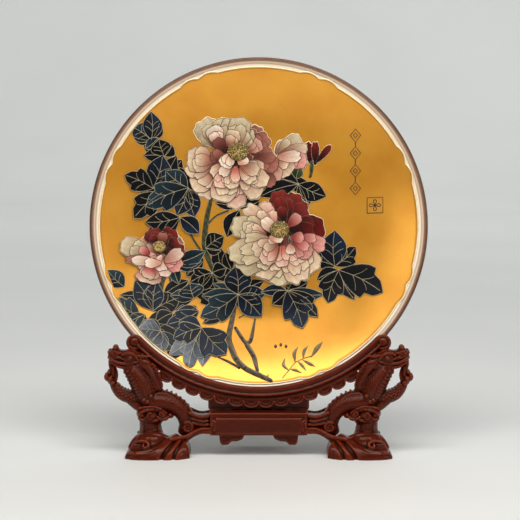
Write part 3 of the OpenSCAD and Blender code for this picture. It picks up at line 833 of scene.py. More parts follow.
def block_parts():
    """Block with a moulded ledge, and the neck that carries the rail."""
    w = 37.0
    block = [(-w + 0.6, 15.6), (w - 0.6, 15.6), (w - 0.2, 17), (w - 0.2, 30), (w - 1.4, 31.2),
             (-w + 1.4, 31.2), (-w + 0.2, 30), (-w + 0.2, 17)]
    ledge = [(-w, 31.4), (w, 31.4), (w, 33.2), (-w, 33.2)]
    neck = [(-w, 32.6), (w, 32.6), (w + 1.4, 34.4), (w + 1.4, 45), (-w - 1.4, 45), (-w - 1.4, 34.4)]
    parts = [prism(block, FRONT, 14, 0.8), prism(ledge, FRONT - 1, 14, 0.7), prism(neck, -3, 12, 0.6)]
    parts.append(tube([(x, FRONT - 0.2, 30.6, 0.55) for x in (-35.4, 0, 35.4)], 8))
    return parts


def panel_parts():
    """Raised panel with notched corners and three pearls at each end."""
    w, notch, low, high = 34.6, 2.0, 17.0, 29.7
    outline = [(-w + notch, low), (w - notch, low), (w - notch, low + notch), (w, low + notch),
               (w, high - notch), (w - notch, high - notch), (w - notch, high), (-w + notch, high),
               (-w + notch, high - notch), (-w, high - notch), (-w, low + notch),
               (-w + notch, low + notch)]
    parts = [prism(outline, FRONT - 2.0, FRONT + 2.6, 1.1)]
    for side in (-1, 1):
        parts.append(blob((side * 35.0, FRONT - 0.4, 24.4), (1.4, 1.6, 1.6)))
        for dz in (-2.6, 2.6):
            parts.append(blob((side * 34.9, FRONT - 0.2, 24.4 + dz), (1.0, 1.1, 1.1)))
    return parts


def corner_bracket_parts():
    """Scrolled spandrel under the end of the block."""
    outline = [(30.2, 17), (29.2, 9.6), (27.6, 7.8), (23.1, 8), (20.6, 10.5), (16, 10.8), (12.2, 12.4),
               (9.8, 17)]
    parts = [prism(outline, FRONT + 2, FRONT + 12, 0.9)]
    parts.append(swirl((26.4, 11.2), 2.5, 1.3, 300, 0.7, FRONT + 2.2))
    parts.append(strand(8, FRONT + 2.2, (23.2, 10.6, 0.7), (19.4, 12.6, 0.8), (14.8, 12.8, 0.8),
                        (11.8, 14.6, 0.7)))
    return parts


def from_hinge(points):
    """Backrest coordinates (right, up from the hinge, forward) to the shared frame."""
    p = np.asarray(points, float)
    return np.stack([p[:, 0], HINGE_Y + p[:, 1] * math.sin(LEAN) - p[:, 2] * math.cos(LEAN),
                     HINGE_Z + p[:, 1] * math.cos(LEAN) + p[:, 2] * math.sin(LEAN)], axis=1)


def flip_yz(part):
    """Swaps depth and height."""
    v, f = part
    return v[:, [0, 2, 1]], turned_over(f)


def backrest_parts():
    """Cloud-headed panel on its barrel, with a carved swirl on each face."""
    half = [(7.6, 4.6), (9, 22), (13, 36), (26, 46), (44, 56), (55, 66), (60, 78), (59, 90), (52, 100),
            (40, 102), (28, 108), (14, 115), (0, 118)]
    hole = [(8 * math.sin(a), HOLE_UP + 8 * math.cos(a)) for a in np.linspace(0, math.pi, 16)]
    outline = [(-2, 4.6)] + [tuple(p) for p in spline(half, 4)] + [(-2, 118), (-2, HOLE_UP + 8)] + hole
    outline.append((-2, HOLE_UP - 8))
    wing = flip_yz(prism(outline, -4, 4, 1.0))
    parts = [wing, mirrored(wing)]
    v, f = lathe([(2.1, -13), (5.4, -13), (6, -12.4), (6, 12.4), (5.4, 13), (2.1, 13)], steps=40)
    parts.append((v[:, [2, 0, 1]] * [1, 1, -1], turned_over(f)))
    for face_sign in (-1, 1):
        depth = 3.9 * face_sign
        for side in (-1, 1):
            for x, up, r, turn in ((34, 82, 12, 230), (14, 104, 7, 200), (20, 62, 6, 60)):
                start = turn if side > 0 else 180 - turn
                parts.append(flip_yz(swirl((side * x, up), r, 1.6, start, 1.3, depth, side)))
    return parts


# ---------------------------------------------------------------- the plate
def tint(obj, colours):
    """Stores a screen colour (0-255) for each vertex."""
    rgba = np.column_stack([to_linear(colours), np.ones(len(colours))])
    layer = obj.data.color_attributes.new("tint", "FLOAT_COLOR", "POINT")
    layer.data.foreach_set("color", rgba.astype(np.float32).ravel())


def tint_by_radius(obj, radius, bands):
    """Tints each vertex from (radius, colour) bands."""
    edges = [b[0] for b in bands]
    colours = np.array([b[1] for b in bands], float)
    tint(obj, np.column_stack([np.interp(radius, edges, colours[:, i]) for i in range(3)]))


def back_z(r):
    """Height of the plate's back above the rim plane at radius r."""
    return face_z(r) - WALL + (WALL - RIM_THICKNESS) * np.asarray(r) / PLATE_R


def plate_body():
    """Porcelain: painted face, glazed back and the foot ring."""
    radii = np.r_[0.05, 20, 40, np.linspace(WELL_R, 120, 36), np.linspace(120.4, BODY_R, 24)]
    under = radii[radii > FOOT_RING_R + 2][::-1]
    profile = [(r, float(face_z(r))) for r in radii] + [(r, float(back_z(r))) for r in under]
    ring = [(73.5, float(back_z(74))), (73, -FOOT_PLANE + 0.8), (72.2, -FOOT_PLANE), (67.8, -FOOT_PLANE),
            (67, -FOOT_PLANE + 0.8), (66.2, -WELL_DEPTH - WALL), (0.05, -WELL_DEPTH - WALL)]
    part = lathe(profile + ring, steps=360)
    obj = make_object("porcelain_body", part, PORCELAIN, from_plate)
    r = np.hypot(part[0][:, 0], part[0][:, 1])
    behind = part[0][:, 2] < face_z(r) - 1
    bands = [(121.6, (214, 150, 60)), (122.6, (226, 190, 130)), (123.3, (250, 228, 196)),
             (124.3, (250, 234, 210)), (124.8, (182, 150, 122)), (125.4, (204, 178, 152)),
             (126.3, (216, 190, 164)), (127.0, (150, 116, 92))]
    bands += [(130, (150, 116, 92)), (131, (236, 233, 226))]
    tint_by_radius(obj, np.where(behind, 131, r), bands)
    return obj


def rim_glaze():
    """Brown glazed band round the rim."""
    front, back = float(face_z(BODY_R)), float(back_z(BODY_R))
    middle = (front + back) / 2
    arc = [(PLATE_R - 1.6 + 1.6 * math.cos(a), middle + (front - middle + 0.3) * math.sin(a))
           for a in np.radians(range(90, -91, -15))]
    profile = [(BODY_R - 0.05, front + 0.02), (BODY_R + 0.5, front + 0.25)] + arc + [(BODY_R - 0.05, back)]
    part = lathe(profile, steps=360)
    obj = make_object("rim_glaze", part, GLAZE, from_plate)
    bands = [(127.0, (150, 116, 92)), (127.7, (138, 102, 76)), (128.3, (104, 64, 42)),
             (129.2, (88, 50, 29)), (130, (82, 44, 24))]
    tint_by_radius(obj, np.hypot(part[0][:, 0], part[0][:, 1]), bands)
    return obj


def gilt_edge(angle):
    """Radius of the gilt ground's edge: eight small bracketed motifs between long arcs."""
    off = abs(math.degrees(angle) % MOTIF_PITCH - MOTIF_PITCH / 2)
    if off > MOTIF_HALF:
        return GILT_R
    return GILT_R + MOTIF_DEPTH * abs(math.sin(math.pi * off / MOTIF_HALF))


def gilt_parts():
    """Thin gilt ground that follows the face out to its wavy edge."""
    angles = np.arange(720) / 720 * 2 * math.pi
    edge = np.array([gilt_edge(a) for a in angles])
    circles = [(edge * s, GROUND_TOP) for s in np.r_[0.001, np.linspace(0.2, 1, 44)]]
    circles += [(edge + 0.25, 0.42), (edge + 0.35, 0.1), (edge + 0.2, -0.3)]
    verts = [np.stack([r * np.cos(angles), r * np.sin(angles), face_z(r) + height], axis=1)
             for r, height in circles]
    return np.concatenate(verts), turned_over(grid_faces(len(circles), len(angles)))


def gilt_edge_line():
    """Raised paste-gold line along the edge of the gilt ground."""
    line = []
    for a in np.arange(721) / 720 * 2 * math.pi:
        r = gilt_edge(a) + 0.1
        line.append((r * math.cos(a), r * math.sin(a), float(face_z(r)) + 0.42, 0.62))
    return tube(line, 8, per_span=1, axis=PLATE_AXIS)


# ---------------------------------------------------------------- the enamel painting
# Colours run from a petal's foot to its free edge.
PETAL_COLOURS = {
    "cream": ((158, 94, 74), (234, 210, 176)), "green": ((150, 108, 82), (216, 200, 162)),
    "white": ((204, 142, 120), (248, 230, 206)), "peach": ((184, 92, 76), (238, 204, 178)),
    "pink": ((150, 56, 52), (226, 164, 150)), "blush": ((196, 130, 112), (240, 212, 192)),
    "dusk": ((150, 88, 72), (212, 164, 142)), "rose": ((96, 42, 34), (172, 108, 90)),
    "deep": ((66, 22, 18), (150, 86, 74)), "crimson": ((38, 6, 6), (134, 36, 28)),
    "maroon": ((34, 4, 3), (106, 16, 9)), "sunset": ((172, 68, 60), (222, 202, 172)),
}
# Each petal: foot x, v; tip x, v; width; colour. Petals nearer the viewer come later.
FIRST_BLOSSOM = [
    (-28, 50, -4, 50, 24, "deep"), (-9, 63, 1, 78, 12, "rose"), (-8, 61, 8, 70, 14, "rose"),
    (-6, 57, 11, 58, 9, "rose"), (-9, 59, 2, 66, 12, "dusk"), (0, 49, 18, 38, 13, "dusk"),
    (2, 45, 11, 31, 11, "rose"), (-4, 54, 15, 46, 14, "rose"), (-32, 63, -45, 82, 20, "green"),
    (-28, 64, -30, 84, 13, "green"), (-23, 63, -23, 84, 14, "green"), (-14, 62, -6, 76, 12, "green"),
    (-17, 62, -14, 85, 18, "green"), (-23, 62, -18, 75, 12, "cream"), (-31, 64, -36, 78, 14, "white"),
    (-34, 43, -43, 22, 17, "cream"), (-35, 44, -51, 29, 17, "cream"), (-35, 48, -57, 42, 12, "cream"),
    (-35, 51, -56, 52, 20, "cream"), (-22, 41, -16, 14, 17, "peach"), (-26, 43, -28, 19, 21, "cream"),
    (-11, 49, 4, 44, 12, "cream"), (-14, 44, 0, 22, 15, "cream"), (-13, 47, 7, 33, 14, "cream"),
    (-25, 57, -34, 68, 10, "deep"), (-25, 54, -38, 54, 10, "deep"), (-26, 51, -35, 59, 7, "rose"),
    (-18, 47, -15, 38, 10, "deep"), (-24, 48, -37, 40, 11, "cream"), (-24, 46, -32, 30, 12, "peach"),
    (-21, 45, -21, 29, 12, "cream"), (-18, 47, -18, 34, 8, "peach"), (-14, 47, -4, 34, 12, "cream"),
    (-13, 48, 0, 42, 11, "cream"), (-23, 49, -29, 39, 9, "white"), (-20, 57, -28, 46, 12, "white"),
    (-16, 48, -9, 54, 9, "white"),
]
BUD = [
    (13, 56, 22, 66, 11, "cream"), (15, 57, 32, 70, 12, "green"), (15, 55, 38, 62, 11, "cream"),
    (14, 53, 38, 51, 14, "pink"), (14, 52, 25, 41, 16, "cream"), (14, 54, 33, 55, 10, "white"),
]
SECOND_BLOSSOM = [
    (4, -10, 32, -8, 26, "deep"),
    (17, 6, 10, 17, 12, "crimson"), (25, 2, 36, 20, 12, "crimson"), (22, 2, 29, 26, 15, "crimson"),
    (20, 2, 15, 28, 17, "crimson"), (20, 3, 17, 15, 8, "crimson"), (26, -5, 44, -10, 12, "maroon"),
    (23, -3, 51, -2, 22, "maroon"), (10, -3, 4, 19, 13, "peach"), (8, -3, -10, 16, 14, "cream"),
    (6, -6, -21, 2, 18, "green"), (6, -8, -10, -1, 12, "cream"), (29, -11, 52, -15, 14, "pink"),
    (26, -13, 45, -34, 19, "cream"), (17, -15, 15, -46, 21, "green"), (21, -15, 33, -44, 21, "cream"),
    (14, -15, 0, -40, 21, "cream"), (13, -14, -16, -34, 21, "green"), (13, -13, -23, -23, 20, "green"),
    (24, -13, 32, -30, 14, "peach"), (27, -11, 40, -24, 13, "pink"), (14, -13, -5, -20, 14, "cream"),
    (19, -15, 17, -32, 12, "peach"), (15, -15, 3, -29, 13, "peach"), (15, -13, 4, -18, 8, "cream"),
    (25, -9, 35, -9, 9, "pink"), (24, -14, 25, -22, 8, "white"), (23, 0, 32, 9, 9, "pink"),
    (14, -6, 3, 6, 10, "white"), (15, -12, 9, -8, 11, "white"), (8, -9, 19, -9, 9, "white"),
]
THIRD_BLOSSOM = [
    (-75, -22, -61, -8, 15, "rose"), (-75, -22, -88, -7, 15, "dusk"), (-74, -22, -57, -18, 12, "crimson"),
    (-76, -22, -75, -40, 19, "blush"), (-78, -24, -94, -31, 13, "blush"), (-73, -24, -60, -33, 13, "pink"),
    (-74, -14, -66, -2, 13, "crimson"), (-78, -14, -84, -3, 14, "crimson"),
    (-70, -16, -62, -12, 11, "crimson"), (-75, -14, -74, -5, 8, "rose"), (-85, -22, -106, -14, 16, "green"),
    (-84, -24, -102, -27, 6, "rose"), (-83, -32, -86, -45, 20, "sunset"), (-84, -22, -92, -18, 7, "pink"),
    (-75, -28, -79, -25, 9, "blush"), (-78, -28, -98, -27, 8, "white"), (-73, -28, -59, -19, 10, "blush"),
    (-75, -29, -88, -29, 8, "white"),
]
SEPALS = [(41, 48, 38, 66, 7, "maroon"), (44, 48, 44, 66, 6, "crimson"), (45, 50, 56, 63, 5, "crimson")]

# Leaf colours: foot and tip. black, navy, teal, pale (where the glaze mirrors the light), green
LEAF_COLOURS = [((2, 3, 5), (13, 13, 19)), ((4, 8, 16), (24, 40, 60)), ((6, 13, 19), (36, 58, 68)),
                ((40, 48, 58), (124, 130, 138)), ((22, 32, 18), (66, 84, 52))]
# Leaf forms: how far along the leaf, and its half-width there
LEAF_FORMS = {
    "oval": [(0, 0.02), (0.06, 0.2), (0.16, 0.52), (0.3, 0.84), (0.45, 1.0), (0.6, 0.97), (0.74, 0.76),
             (0.86, 0.46), (0.94, 0.22), (1, 0.02)],
    "lobed": [(0, 0.02), (0.08, 0.26), (0.2, 0.56), (0.36, 0.84), (0.5, 0.98), (0.6, 1.0), (0.65, 0.98),
              (0.68, 0.62), (0.76, 0.58), (0.85, 0.5), (0.93, 0.26), (1, 0.02)],
}
# Each spray: the point its leaves spring from, then tip x, v; width; colour; "lobed" if it isn't oval
LEAVES = [
    ((-83, 66), [(-96, 68, 6, 0), (-97, 75, 12, 2), (-77, 79, 7, 0), (-83, 86, 10, 1)]),
    ((-78, 68), [(-87, 60, 6, 2)]),
    ((-73, 54), [(-88, 54, 7, 0), (-67, 62, 8, 0), (-77, 66, 12, 0)]),
    ((-82, 29), [(-65, 53, 11, 0), (-75, 53, 15, 1), (-102, 38, 14, 0, "lobed")]),
    ((-75, 26), [(-95, 7, 15, 0, "lobed")]),
    ((-55, 30), [(-50, 9, 13, 1), (-63, 10, 10, 1), (-71, 42, 13, 2), (-85, 16, 17, 2, "lobed")]),
    ((-61, 7), [(-86, -7, 11, 0), (-86, 3, 12, 0), (-47, -5, 9, 1)]),
    ((-103, -48), [(-115, -36, 10, 2)]),
    ((-88, -53), [(-105, -54, 5, 0)]),
    ((1, 20), [(-14, 15, 8, 0)]),
    ((-15, 13), [(-24, -7, 9, 0)]),
    ((-18, 14), [(-33, 18, 5, 0)]),
    ((31, 33), [(38, 16, 8, 0), (14, 40, 9, 0), (51, 24, 12, 0), (3, 24, 9, 0)]),
    ((29, 37), [(32, 46, 6, 4)]),
    ((-41, -17), [(-30, -19, 7, 0), (-28, -8, 10, 0)]),
    ((-26, -20), [(-21, -33, 6, 0)]),
    ((-43, -24), [(-55, -38, 10, 0, "lobed")]),
    ((-36, -36), [(-26, -33, 8, 0), (-46, -49, 9, 0), (-52, -43, 10, 0, "lobed")]),
    ((-66, -29), [(-45, -28, 8, 1), (-43, -20, 9, 2), (-62, -44, 6, 2)]),
    ((-81, -66), [(-62, -56, 13, 0), (-94, -44, 14, 1), (-79, -45, 12, 1)]),
    ((-91, -71), [(-109, -58, 13, 2, "lobed")]),
    ((-87, -69), [(-99, -76, 6, 2), (-93, -81, 6, 2)]),
    ((-79, -75), [(-67, -68, 8, 0)]),
    ((-75, -82), [(-64, -96, 9, 2), (-73, -97, 8, 3), (-87, -74, 8, 1), (-82, -92, 9, 3),
                  (-91, -81, 12, 3)]),
    ((-50, -56), [(-67, -54, 7, 2), (-53, -45, 15, 2)]),
    ((-26, -69), [(-42, -75, 6, 0)]),
    ((-46, -66), [(-61, -65, 7, 1), (-69, -76, 11, 1, "lobed")]),
    ((-44, -79), [(-43, -107, 10, 3), (-67, -99, 10, 3), (-53, -109, 14, 3, "lobed"), (-60, -74, 8, 1),
                  (-64, -87, 13, 1, "lobed"), (-26, -98, 19, 1, "lobed")]),
    ((-16, -53), [(3, -43, 7, 0), (-34, -45, 7, 2), (-18, -33, 16, 1), (-10, -64, 8, 1),
                  (-42, -54, 9, 2), (4, -52, 10, 1), (1, -69, 14, 1), (-43, -69, 16, 2, "lobed")]),
    ((22, -50), [(37, -44, 7, 0), (3, -51, 6, 1), (49, -53, 7, 2), (11, -60, 8, 0),
                 (44, -69, 12, 0, "lobed"), (33, -77, 18, 1, "lobed")]),
    ((59, -31), [(46, -27, 8, 0), (74, -17, 12, 0, "lobed"), (59, -5, 16, 1)]),
    ((62, -34), [(46, -41, 7, 0), (73, -56, 8, 0), (54, -58, 15, 0, "lobed"), (93, -51, 20, 0, "lobed")]),
]
# Dark leaves that fill the mass behind the sprays: foot x, v; tip x, v; width
SHADE_LEAVES = [
    (-74, -62, -50, -52, 17), (-68, -74, -48, -62, 15), (-92, -62, -70, -52, 13), (-56, -86, -80, -74, 13),
    (-56, -90, -70, -104, 12), (-28, -60, -50, -50, 16), (-30, -48, -52, -36, 14), (-54, -30, -36, -44, 13),
    (-30, -56, -34, -74, 12), (-54, -42, -74, -54, 11), (-36, -28, -20, -42, 13), (-32, -14, -27, -38, 12),
    (-74, 34, -60, 52, 15), (-64, 30, -74, 12, 15), (-62, 22, -44, 30, 14), (-62, 46, -50, 24, 17),
    (-78, 50, -60, 38, 14), (-94, 30, -72, 24, 11), (-96, -60, -84, -46, 10), (-86, -78, -70, -66, 12),
    (44, -26, 64, -14, 12), (52, -36, 76, -46, 13), (20, -46, 40, -54, 13), (-8, 30, -24, 14, 12),
    (22, 40, 44, 26, 12), (-88, 70, -78, 52, 9), (-70, -90, -84, -82, 11), (-30, -84, -44, -94, 13),
]
# Stems and branches: x, v, half-width rows
STEMS = [
    [(-37, 22, 1.5), (-40, 8, 2), (-42, -9, 2.2), (-41, -20, 2), (-35, -35, 1.8), (-32, -45, 1.5)],
    [(-40, 1, 0.6), (-33, 8, 0.8), (-24, 12, 0.9)],
    [(-18, -60, 1), (-20, -70, 1.8), (-23, -86, 2.2), (-21, -95, 2.4), (-17, -104, 2.6), (-10, -111, 2.6),
     (0, -116, 2.6), (9, -120, 2)],
    [(-3, -72, 0.7), (-6, -88, 1.6), (-9, -92, 1.9), (-4, -101, 2), (-1, -112, 1.4)],
    [(-18, -79, 1.3), (-13, -87, 1.6), (-9, -92, 1.7)],
    [(-15, -71, 0.5), (-8, -67, 0.4)],
    [(-31, -102, 0.6), (-24, -105, 1.1), (-15, -110, 1.2)],
    [(7, -115, 0.3), (7, -120, 0.7)],
    [(-71, -33, 2), (-75, -44, 2.2), (-76, -54, 1.7)],
    [(-69, -38, 0.7), (-68, -52, 0.6)],
    [(-57, 5, 0.8), (-52, -8, 0.9), (-45, -19, 0.9)],
    [(41, 50, 1.6), (41, 45, 1.5), (40, 39, 1.2)],
]
# Small sprig at the foot of the painting, in the same rows
SPRIG = [
    [(18, -118, 0.4), (23, -112, 0.4), (28, -106, 0.4), (34, -103, 0.4), (40, -101, 0.4)],
    [(28, -106, 0.3), (27.4, -99, 1.5), (30, -94, 0.2)],
    [(40, -102, 0.3), (45, -95, 2.0), (49, -90, 0.2)],
    [(34, -103, 0.3), (35, -97, 1.4), (38, -93, 0.2)],
    [(34, -104, 0.3), (39, -107, 1.5), (43, -109, 0.2)],
    [(23, -112, 0.3), (19, -108, 1.3), (20, -103, 0.3)],
    [(24, -111, 0.3), (28, -112, 1.3), (33, -114, 0.2)],
    [(30, -105, 0.3), (33, -108, 1.2), (36, -112, 0.2)],
]
LAYER = 0.12
PETAL_POINTS = 44
PETAL_RINGS = (0.02, 0.18, 0.34, 0.5, 0.66, 0.8, 0.91, 0.97, 1.0)
STAMENS = 80
STAMEN_OVAL = 0.86
GOLDEN_ANGLE = 2.399963


def on_face(points, height):
    """Flat painting coordinates to plate coordinates, at a height above the face and kept on the gilt."""
    p = np.asarray(points, float)
    r = np.hypot(p[:, 0], p[:, 1])
    p = p * np.minimum(1, PAINT_R / np.maximum(r, 1e-6))[:, None]
    return np.column_stack([p, face_z(np.hypot(p[:, 0], p[:, 1])) + height])


def any_inside(points, shape):
    """Whether any of the points lies in a painted shape, taken as an ellipse."""
    centre, along, half_long, half_wide, _ = shape
    d = points - centre
    u = d @ along / half_long
    w = (d[:, 0] * -along[1] + d[:, 1] * along[0]) / half_wide
    return np.any(u * u + w * w < 0.96)


class Stack:
    """Remembers painted shapes so that each new one is laid just above those it overlaps."""

    def __init__(self):
        self.shapes = []

    def level(self, foot, tip, width):
        """Number of the layer for a new shape, which is then remembered."""
        foot, tip = np.array(foot, float), np.array(tip, float)
        length = max(np.linalg.norm(tip - foot), 1e-6)
        along = (tip - foot) / length
        centre = (foot + tip) / 2
        across = np.array([-along[1], along[0]])
        turn = np.linspace(0, 2 * math.pi, 24, endpoint=False)
        edge = centre + np.outer(np.cos(turn), along) * length / 2
        edge = edge + np.outer(np.sin(turn), across) * width / 2
        edge = np.vstack([edge, centre + (edge - centre) * 0.5, centre])
        mine = (centre, along, length / 2, width / 2, 0)
        top = -1
        for other in self.shapes:
            far = np.linalg.norm(other[0] - centre) > other[2] + other[3] + length
            if far or other[4] <= top:
                continue
            if any_inside(edge, other) or any_inside(other[0][None], mine):
                top = other[4]
        self.shapes.append(mine[:4] + (top + 1,))
        return top + 1


def blend_colours(a, b, t):
    """Colour a where t is 0, b where it is 1."""
    return np.asarray(a, float) * (1 - t[:, None]) + np.asarray(b, float) * t[:, None]


def petal_outline(foot, tip, width, turn, chance):
    """Ruffled egg shape, broad at the tip, at the angles in turn."""
    along = np.subtract(tip, foot).astype(float)
    length = np.linalg.norm(along)
    along /= length
    across = np.array([-along[1], along[0]])
    c, s = np.cos(turn), np.sin(turn)
    ahead = np.where(c > 0, 0.42 * length * np.abs(c) ** 0.8, -0.58 * length * np.abs(c))
    wide = width / 2 * np.sign(s) * np.abs(s) ** 0.85 * np.where(c < 0, 1 + 0.34 * c, 1)
    lobes = chance.choice((5, 6, 7, 8))
    ruffle = 1 + 0.05 * np.clip(c + 0.4, 0, 1) * np.sin(lobes * turn + chance.uniform(0, 6))
    notch = 1 - chance.uniform(0.0, 0.12) * np.exp(-(turn / 0.22) ** 2)
    centre = np.asarray(foot, float) + along * 0.58 * length
    flat = np.outer(ahead, along) + np.outer(wide, across)
    return centre, along, length, centre + flat * (ruffle * notch)[:, None]


def petal(row, level, chance):
    """One enamel petal, crowned and softly folded; its colours; and the path of its outline."""
    foot, tip, width, colour = row[:2], row[2:4], row[4], PETAL_COLOURS[row[5]]
    n = PETAL_POINTS
    turn = np.linspace(0, 2 * math.pi, n, endpoint=False)
    centre, along, length, edge = petal_outline(foot, tip, width, turn, chance)
    folds = chance.choice((3, 4, 5))
    phase = chance.uniform(0, 6)
    base = GROUND_TOP + LAYER * (level + 1)
    flat, height = [], []
    for rho in PETAL_RINGS:
        flat.append(centre + (edge - centre) * rho)
        crown = 0.13 * (1 - rho ** 3) + 0.05 * rho * np.sin(folds * turn + phase) * (rho < 0.99)
        height.append(base + crown - (0.05 if rho == 1.0 else 0))
    flat.append(centre + (edge - centre) * 1.006)
    height.append(np.full(n, GROUND_TOP - 0.1))
    flat, height = np.concatenate(flat), np.concatenate(height)
    reach = np.clip(((flat - foot) @ along) / length, 0, 1)
    ray = np.arctan2((flat - foot) @ np.array([-along[1], along[0]]), (flat - foot) @ along + 0.15 * length)
    mixed = np.clip(reach * 1.3 - 0.28, 0, 1) ** 0.9
    tone = blend_colours(colour[0], colour[1], mixed)
    rho_all = np.repeat(PETAL_RINGS + (1.0,), n)
    tone *= (1 + 0.035 * np.sin(ray * chance.uniform(26, 34)) * mixed)[:, None]
    shade = np.clip(np.sin(ray * 2.2 + chance.uniform(-1, 1)), 0, 1)
    tone *= (1 - 0.16 * shade * (1 - 0.5 * mixed))[:, None]
    tone *= np.where(rho_all > 0.95, 0.93, 1.0)[:, None]
    faces = grid_faces(len(flat) // n, n)
    outline = [tuple(edge[i % n]) + (base,) for i in range(n + 1)]
    return (on_face(flat, height), faces), np.clip(tone, 0, 255), outline


def leaf(foot, tip, width, form, colour, level):
    """One enamel leaflet, folded at its midrib; its colours; and the paths of its outline and veins."""
    foot, tip = np.array(foot, float), np.array(tip, float)
    length = np.linalg.norm(tip - foot)
    along = (tip - foot) / length
    across = np.array([-along[1], along[0]])
    t, half = np.array(LEAF_FORMS[form]).T
    half = half * width / 2
    bend = 0.05 * length * np.sin(t * math.pi) * (1 if (foot[0] + tip[1]) % 2 > 1 else -1)
    spine = foot + np.outer(t * length, along) + np.outer(bend, across)
    s = np.array([-1.02, -1, -0.9, -0.6, -0.3, -0.04, 0.04, 0.3, 0.6, 0.9, 1, 1.02])
    base = GROUND_TOP + LAYER * (level + 1)
    flat = (spine[:, None] + across * (half[:, None] * s)[:, :, None]).reshape(-1, 2)
    crown = 0.1 * (1 - np.abs(s) ** 3) - 0.07 * np.exp(-(s / 0.12) ** 2)
    crown[[0, -1]] = GROUND_TOP - 0.1 - base
    height = np.tile(base + crown, len(t))
    faces = grid_faces(len(t), len(s), wrap=False)
    dark, light = LEAF_COLOURS[colour]
    along_t = np.repeat(t, len(s))
    sided = np.tile(s, len(t))
    mixed = np.clip(0.15 + 0.75 * along_t + 0.2 * np.abs(sided) - np.where(sided > 0, 0.3, 0), 0, 1)
    tone = blend_colours(dark, light, mixed)
    offset = across * half[:, None]
    rim = with_last(np.vstack([spine + offset, (spine - offset)[::-1], spine[:1] + offset[:1]]), base + 0.02)
    mid = with_last(spine[:-1], base + 0.1)
    veins = []
    for at in (0.3, 0.5):
        root = np.array([np.interp(at, t, spine[:, 0]), np.interp(at, t, spine[:, 1])])
        for side in (-1, 1):
            reach = np.interp(at + 0.2, t, half) * 0.74
            end = root + along * 0.19 * length + across * side * reach
            middle = (root + end) / 2 + along * 0.03 * length
            veins.append(with_last((root, middle, end), base + 0.09))
    return (on_face(flat, height), faces), tone, rim, mid, veins


def face_line(path, radius, per_span=1):
    """Raised line over the painting through (x, v, height) points."""
    p = np.array(path, float)
    placed = on_face(p[:, :2], p[:, 2])
    return tube(with_last(placed, radius), 6, depth=0.8, per_span=per_span, axis=PLATE_AXIS)


def solid_tint(part, colour):
    """One colour for all of a part."""
    return np.tile(np.asarray(colour, float), (len(part[0]), 1))


def tinted_object(name, parts, tones, material):
    """One object from painted parts and their colours."""
    obj = make_object(name, merge(parts), material, from_plate)
    tint(obj, np.vstack(tones))
    return obj


def ruffled(petals, chance):
    """Each broad petal followed by two or three narrower ones that rise from its foot."""
    out = []
    for row in petals:
        out.append(row)
        foot, d = np.array(row[:2], float), np.subtract(row[2:4], row[:2])
        if row[4] < 12:
            continue
        for turn in (-17, 15) if row[4] < 17 else (-22, 20, -2):
            a = math.radians(turn + chance.uniform(-5, 5))
            reach = chance.uniform(0.62, 0.82)
            tip = foot + reach * np.array([d[0] * math.cos(a) - d[1] * math.sin(a),
                                           d[0] * math.sin(a) + d[1] * math.cos(a)])
            out.append((*foot, *tip, row[4] * chance.uniform(0.5, 0.66), row[5]))
    return out


def build_blossom(name, petals, stack, seed):
    """Petals with brown painted outlines, over a gold line that shows only round the outside."""
    chance = random.Random(seed)
    parts, tones, brown, gold = [], [], [], []
    for row in ruffled(petals, chance):
        level = stack.level(row[:2], row[2:4], row[4])
        part, tone, outline = petal(row, level, chance)
        parts.append(part)
        tones.append(tone)
        brown.append(face_line(outline, 0.2))
        path = np.array(outline)[:, :2]
        centre = path.mean(axis=0)
        gold.append(face_line(with_last(centre + (path - centre) * 1.02, GROUND_TOP + 0.12), 0.36))
    place(tinted_object(name, parts, tones, PETAL_ENAMEL), "plate", "blossom_enamel", "blossom_relief")
    browns = [solid_tint(line, (92, 58, 40)) for line in brown]
    place(tinted_object(name + "_outlines", brown, browns, BRANCH_ENAMEL), "plate", "branch_enamel")
    place(make_object(name + "_gold_edge", merge(gold), GOLD_LINE, from_plate), "plate", "gilding")


def build_stamens(name, centre, radius, level, seed):
    """Cushion of gold-tipped stamens on fine filaments."""
    chance = random.Random(seed)
    parts, tones = [], []
    base = GROUND_TOP + LAYER * (level + 1)
    cushion = blob((0, 0, 0), (radius, radius * STAMEN_OVAL, 0.5), rings=8, sides=24)
    parts.append((on_face(cushion[0][:, :2] + centre, base + cushion[0][:, 2]), cushion[1]))
    tones.append(solid_tint(cushion, (96, 78, 34)))
    for k in range(STAMENS):
        a = k * GOLDEN_ANGLE
        r = radius * 0.98 * math.sqrt((k + 0.5) / STAMENS)
        x, v = centre[0] + r * math.cos(a), centre[1] + r * STAMEN_OVAL * math.sin(a)
        size = chance.uniform(0.42, 0.7)
        dot = blob((0, 0, 0), (size, size, size * 0.7), rings=6, sides=8)
        parts.append((on_face(dot[0][:, :2] + (x, v), base + 0.45 + dot[0][:, 2]), dot[1]))
        bright = chance.uniform(0.55, 1.05)
        tones.append(solid_tint(dot, (206 * bright, 172 * bright, 96 * bright)))
        if k % 3 == 0:
            hair = face_line([tuple(centre) + (base + 0.4,), (x, v, base + 0.5)], 0.14)
            parts.append(hair)
            tones.append(solid_tint(hair, (190, 164, 104)))
    place(tinted_object(name, parts, tones, PETAL_ENAMEL), "plate", "blossom_enamel")


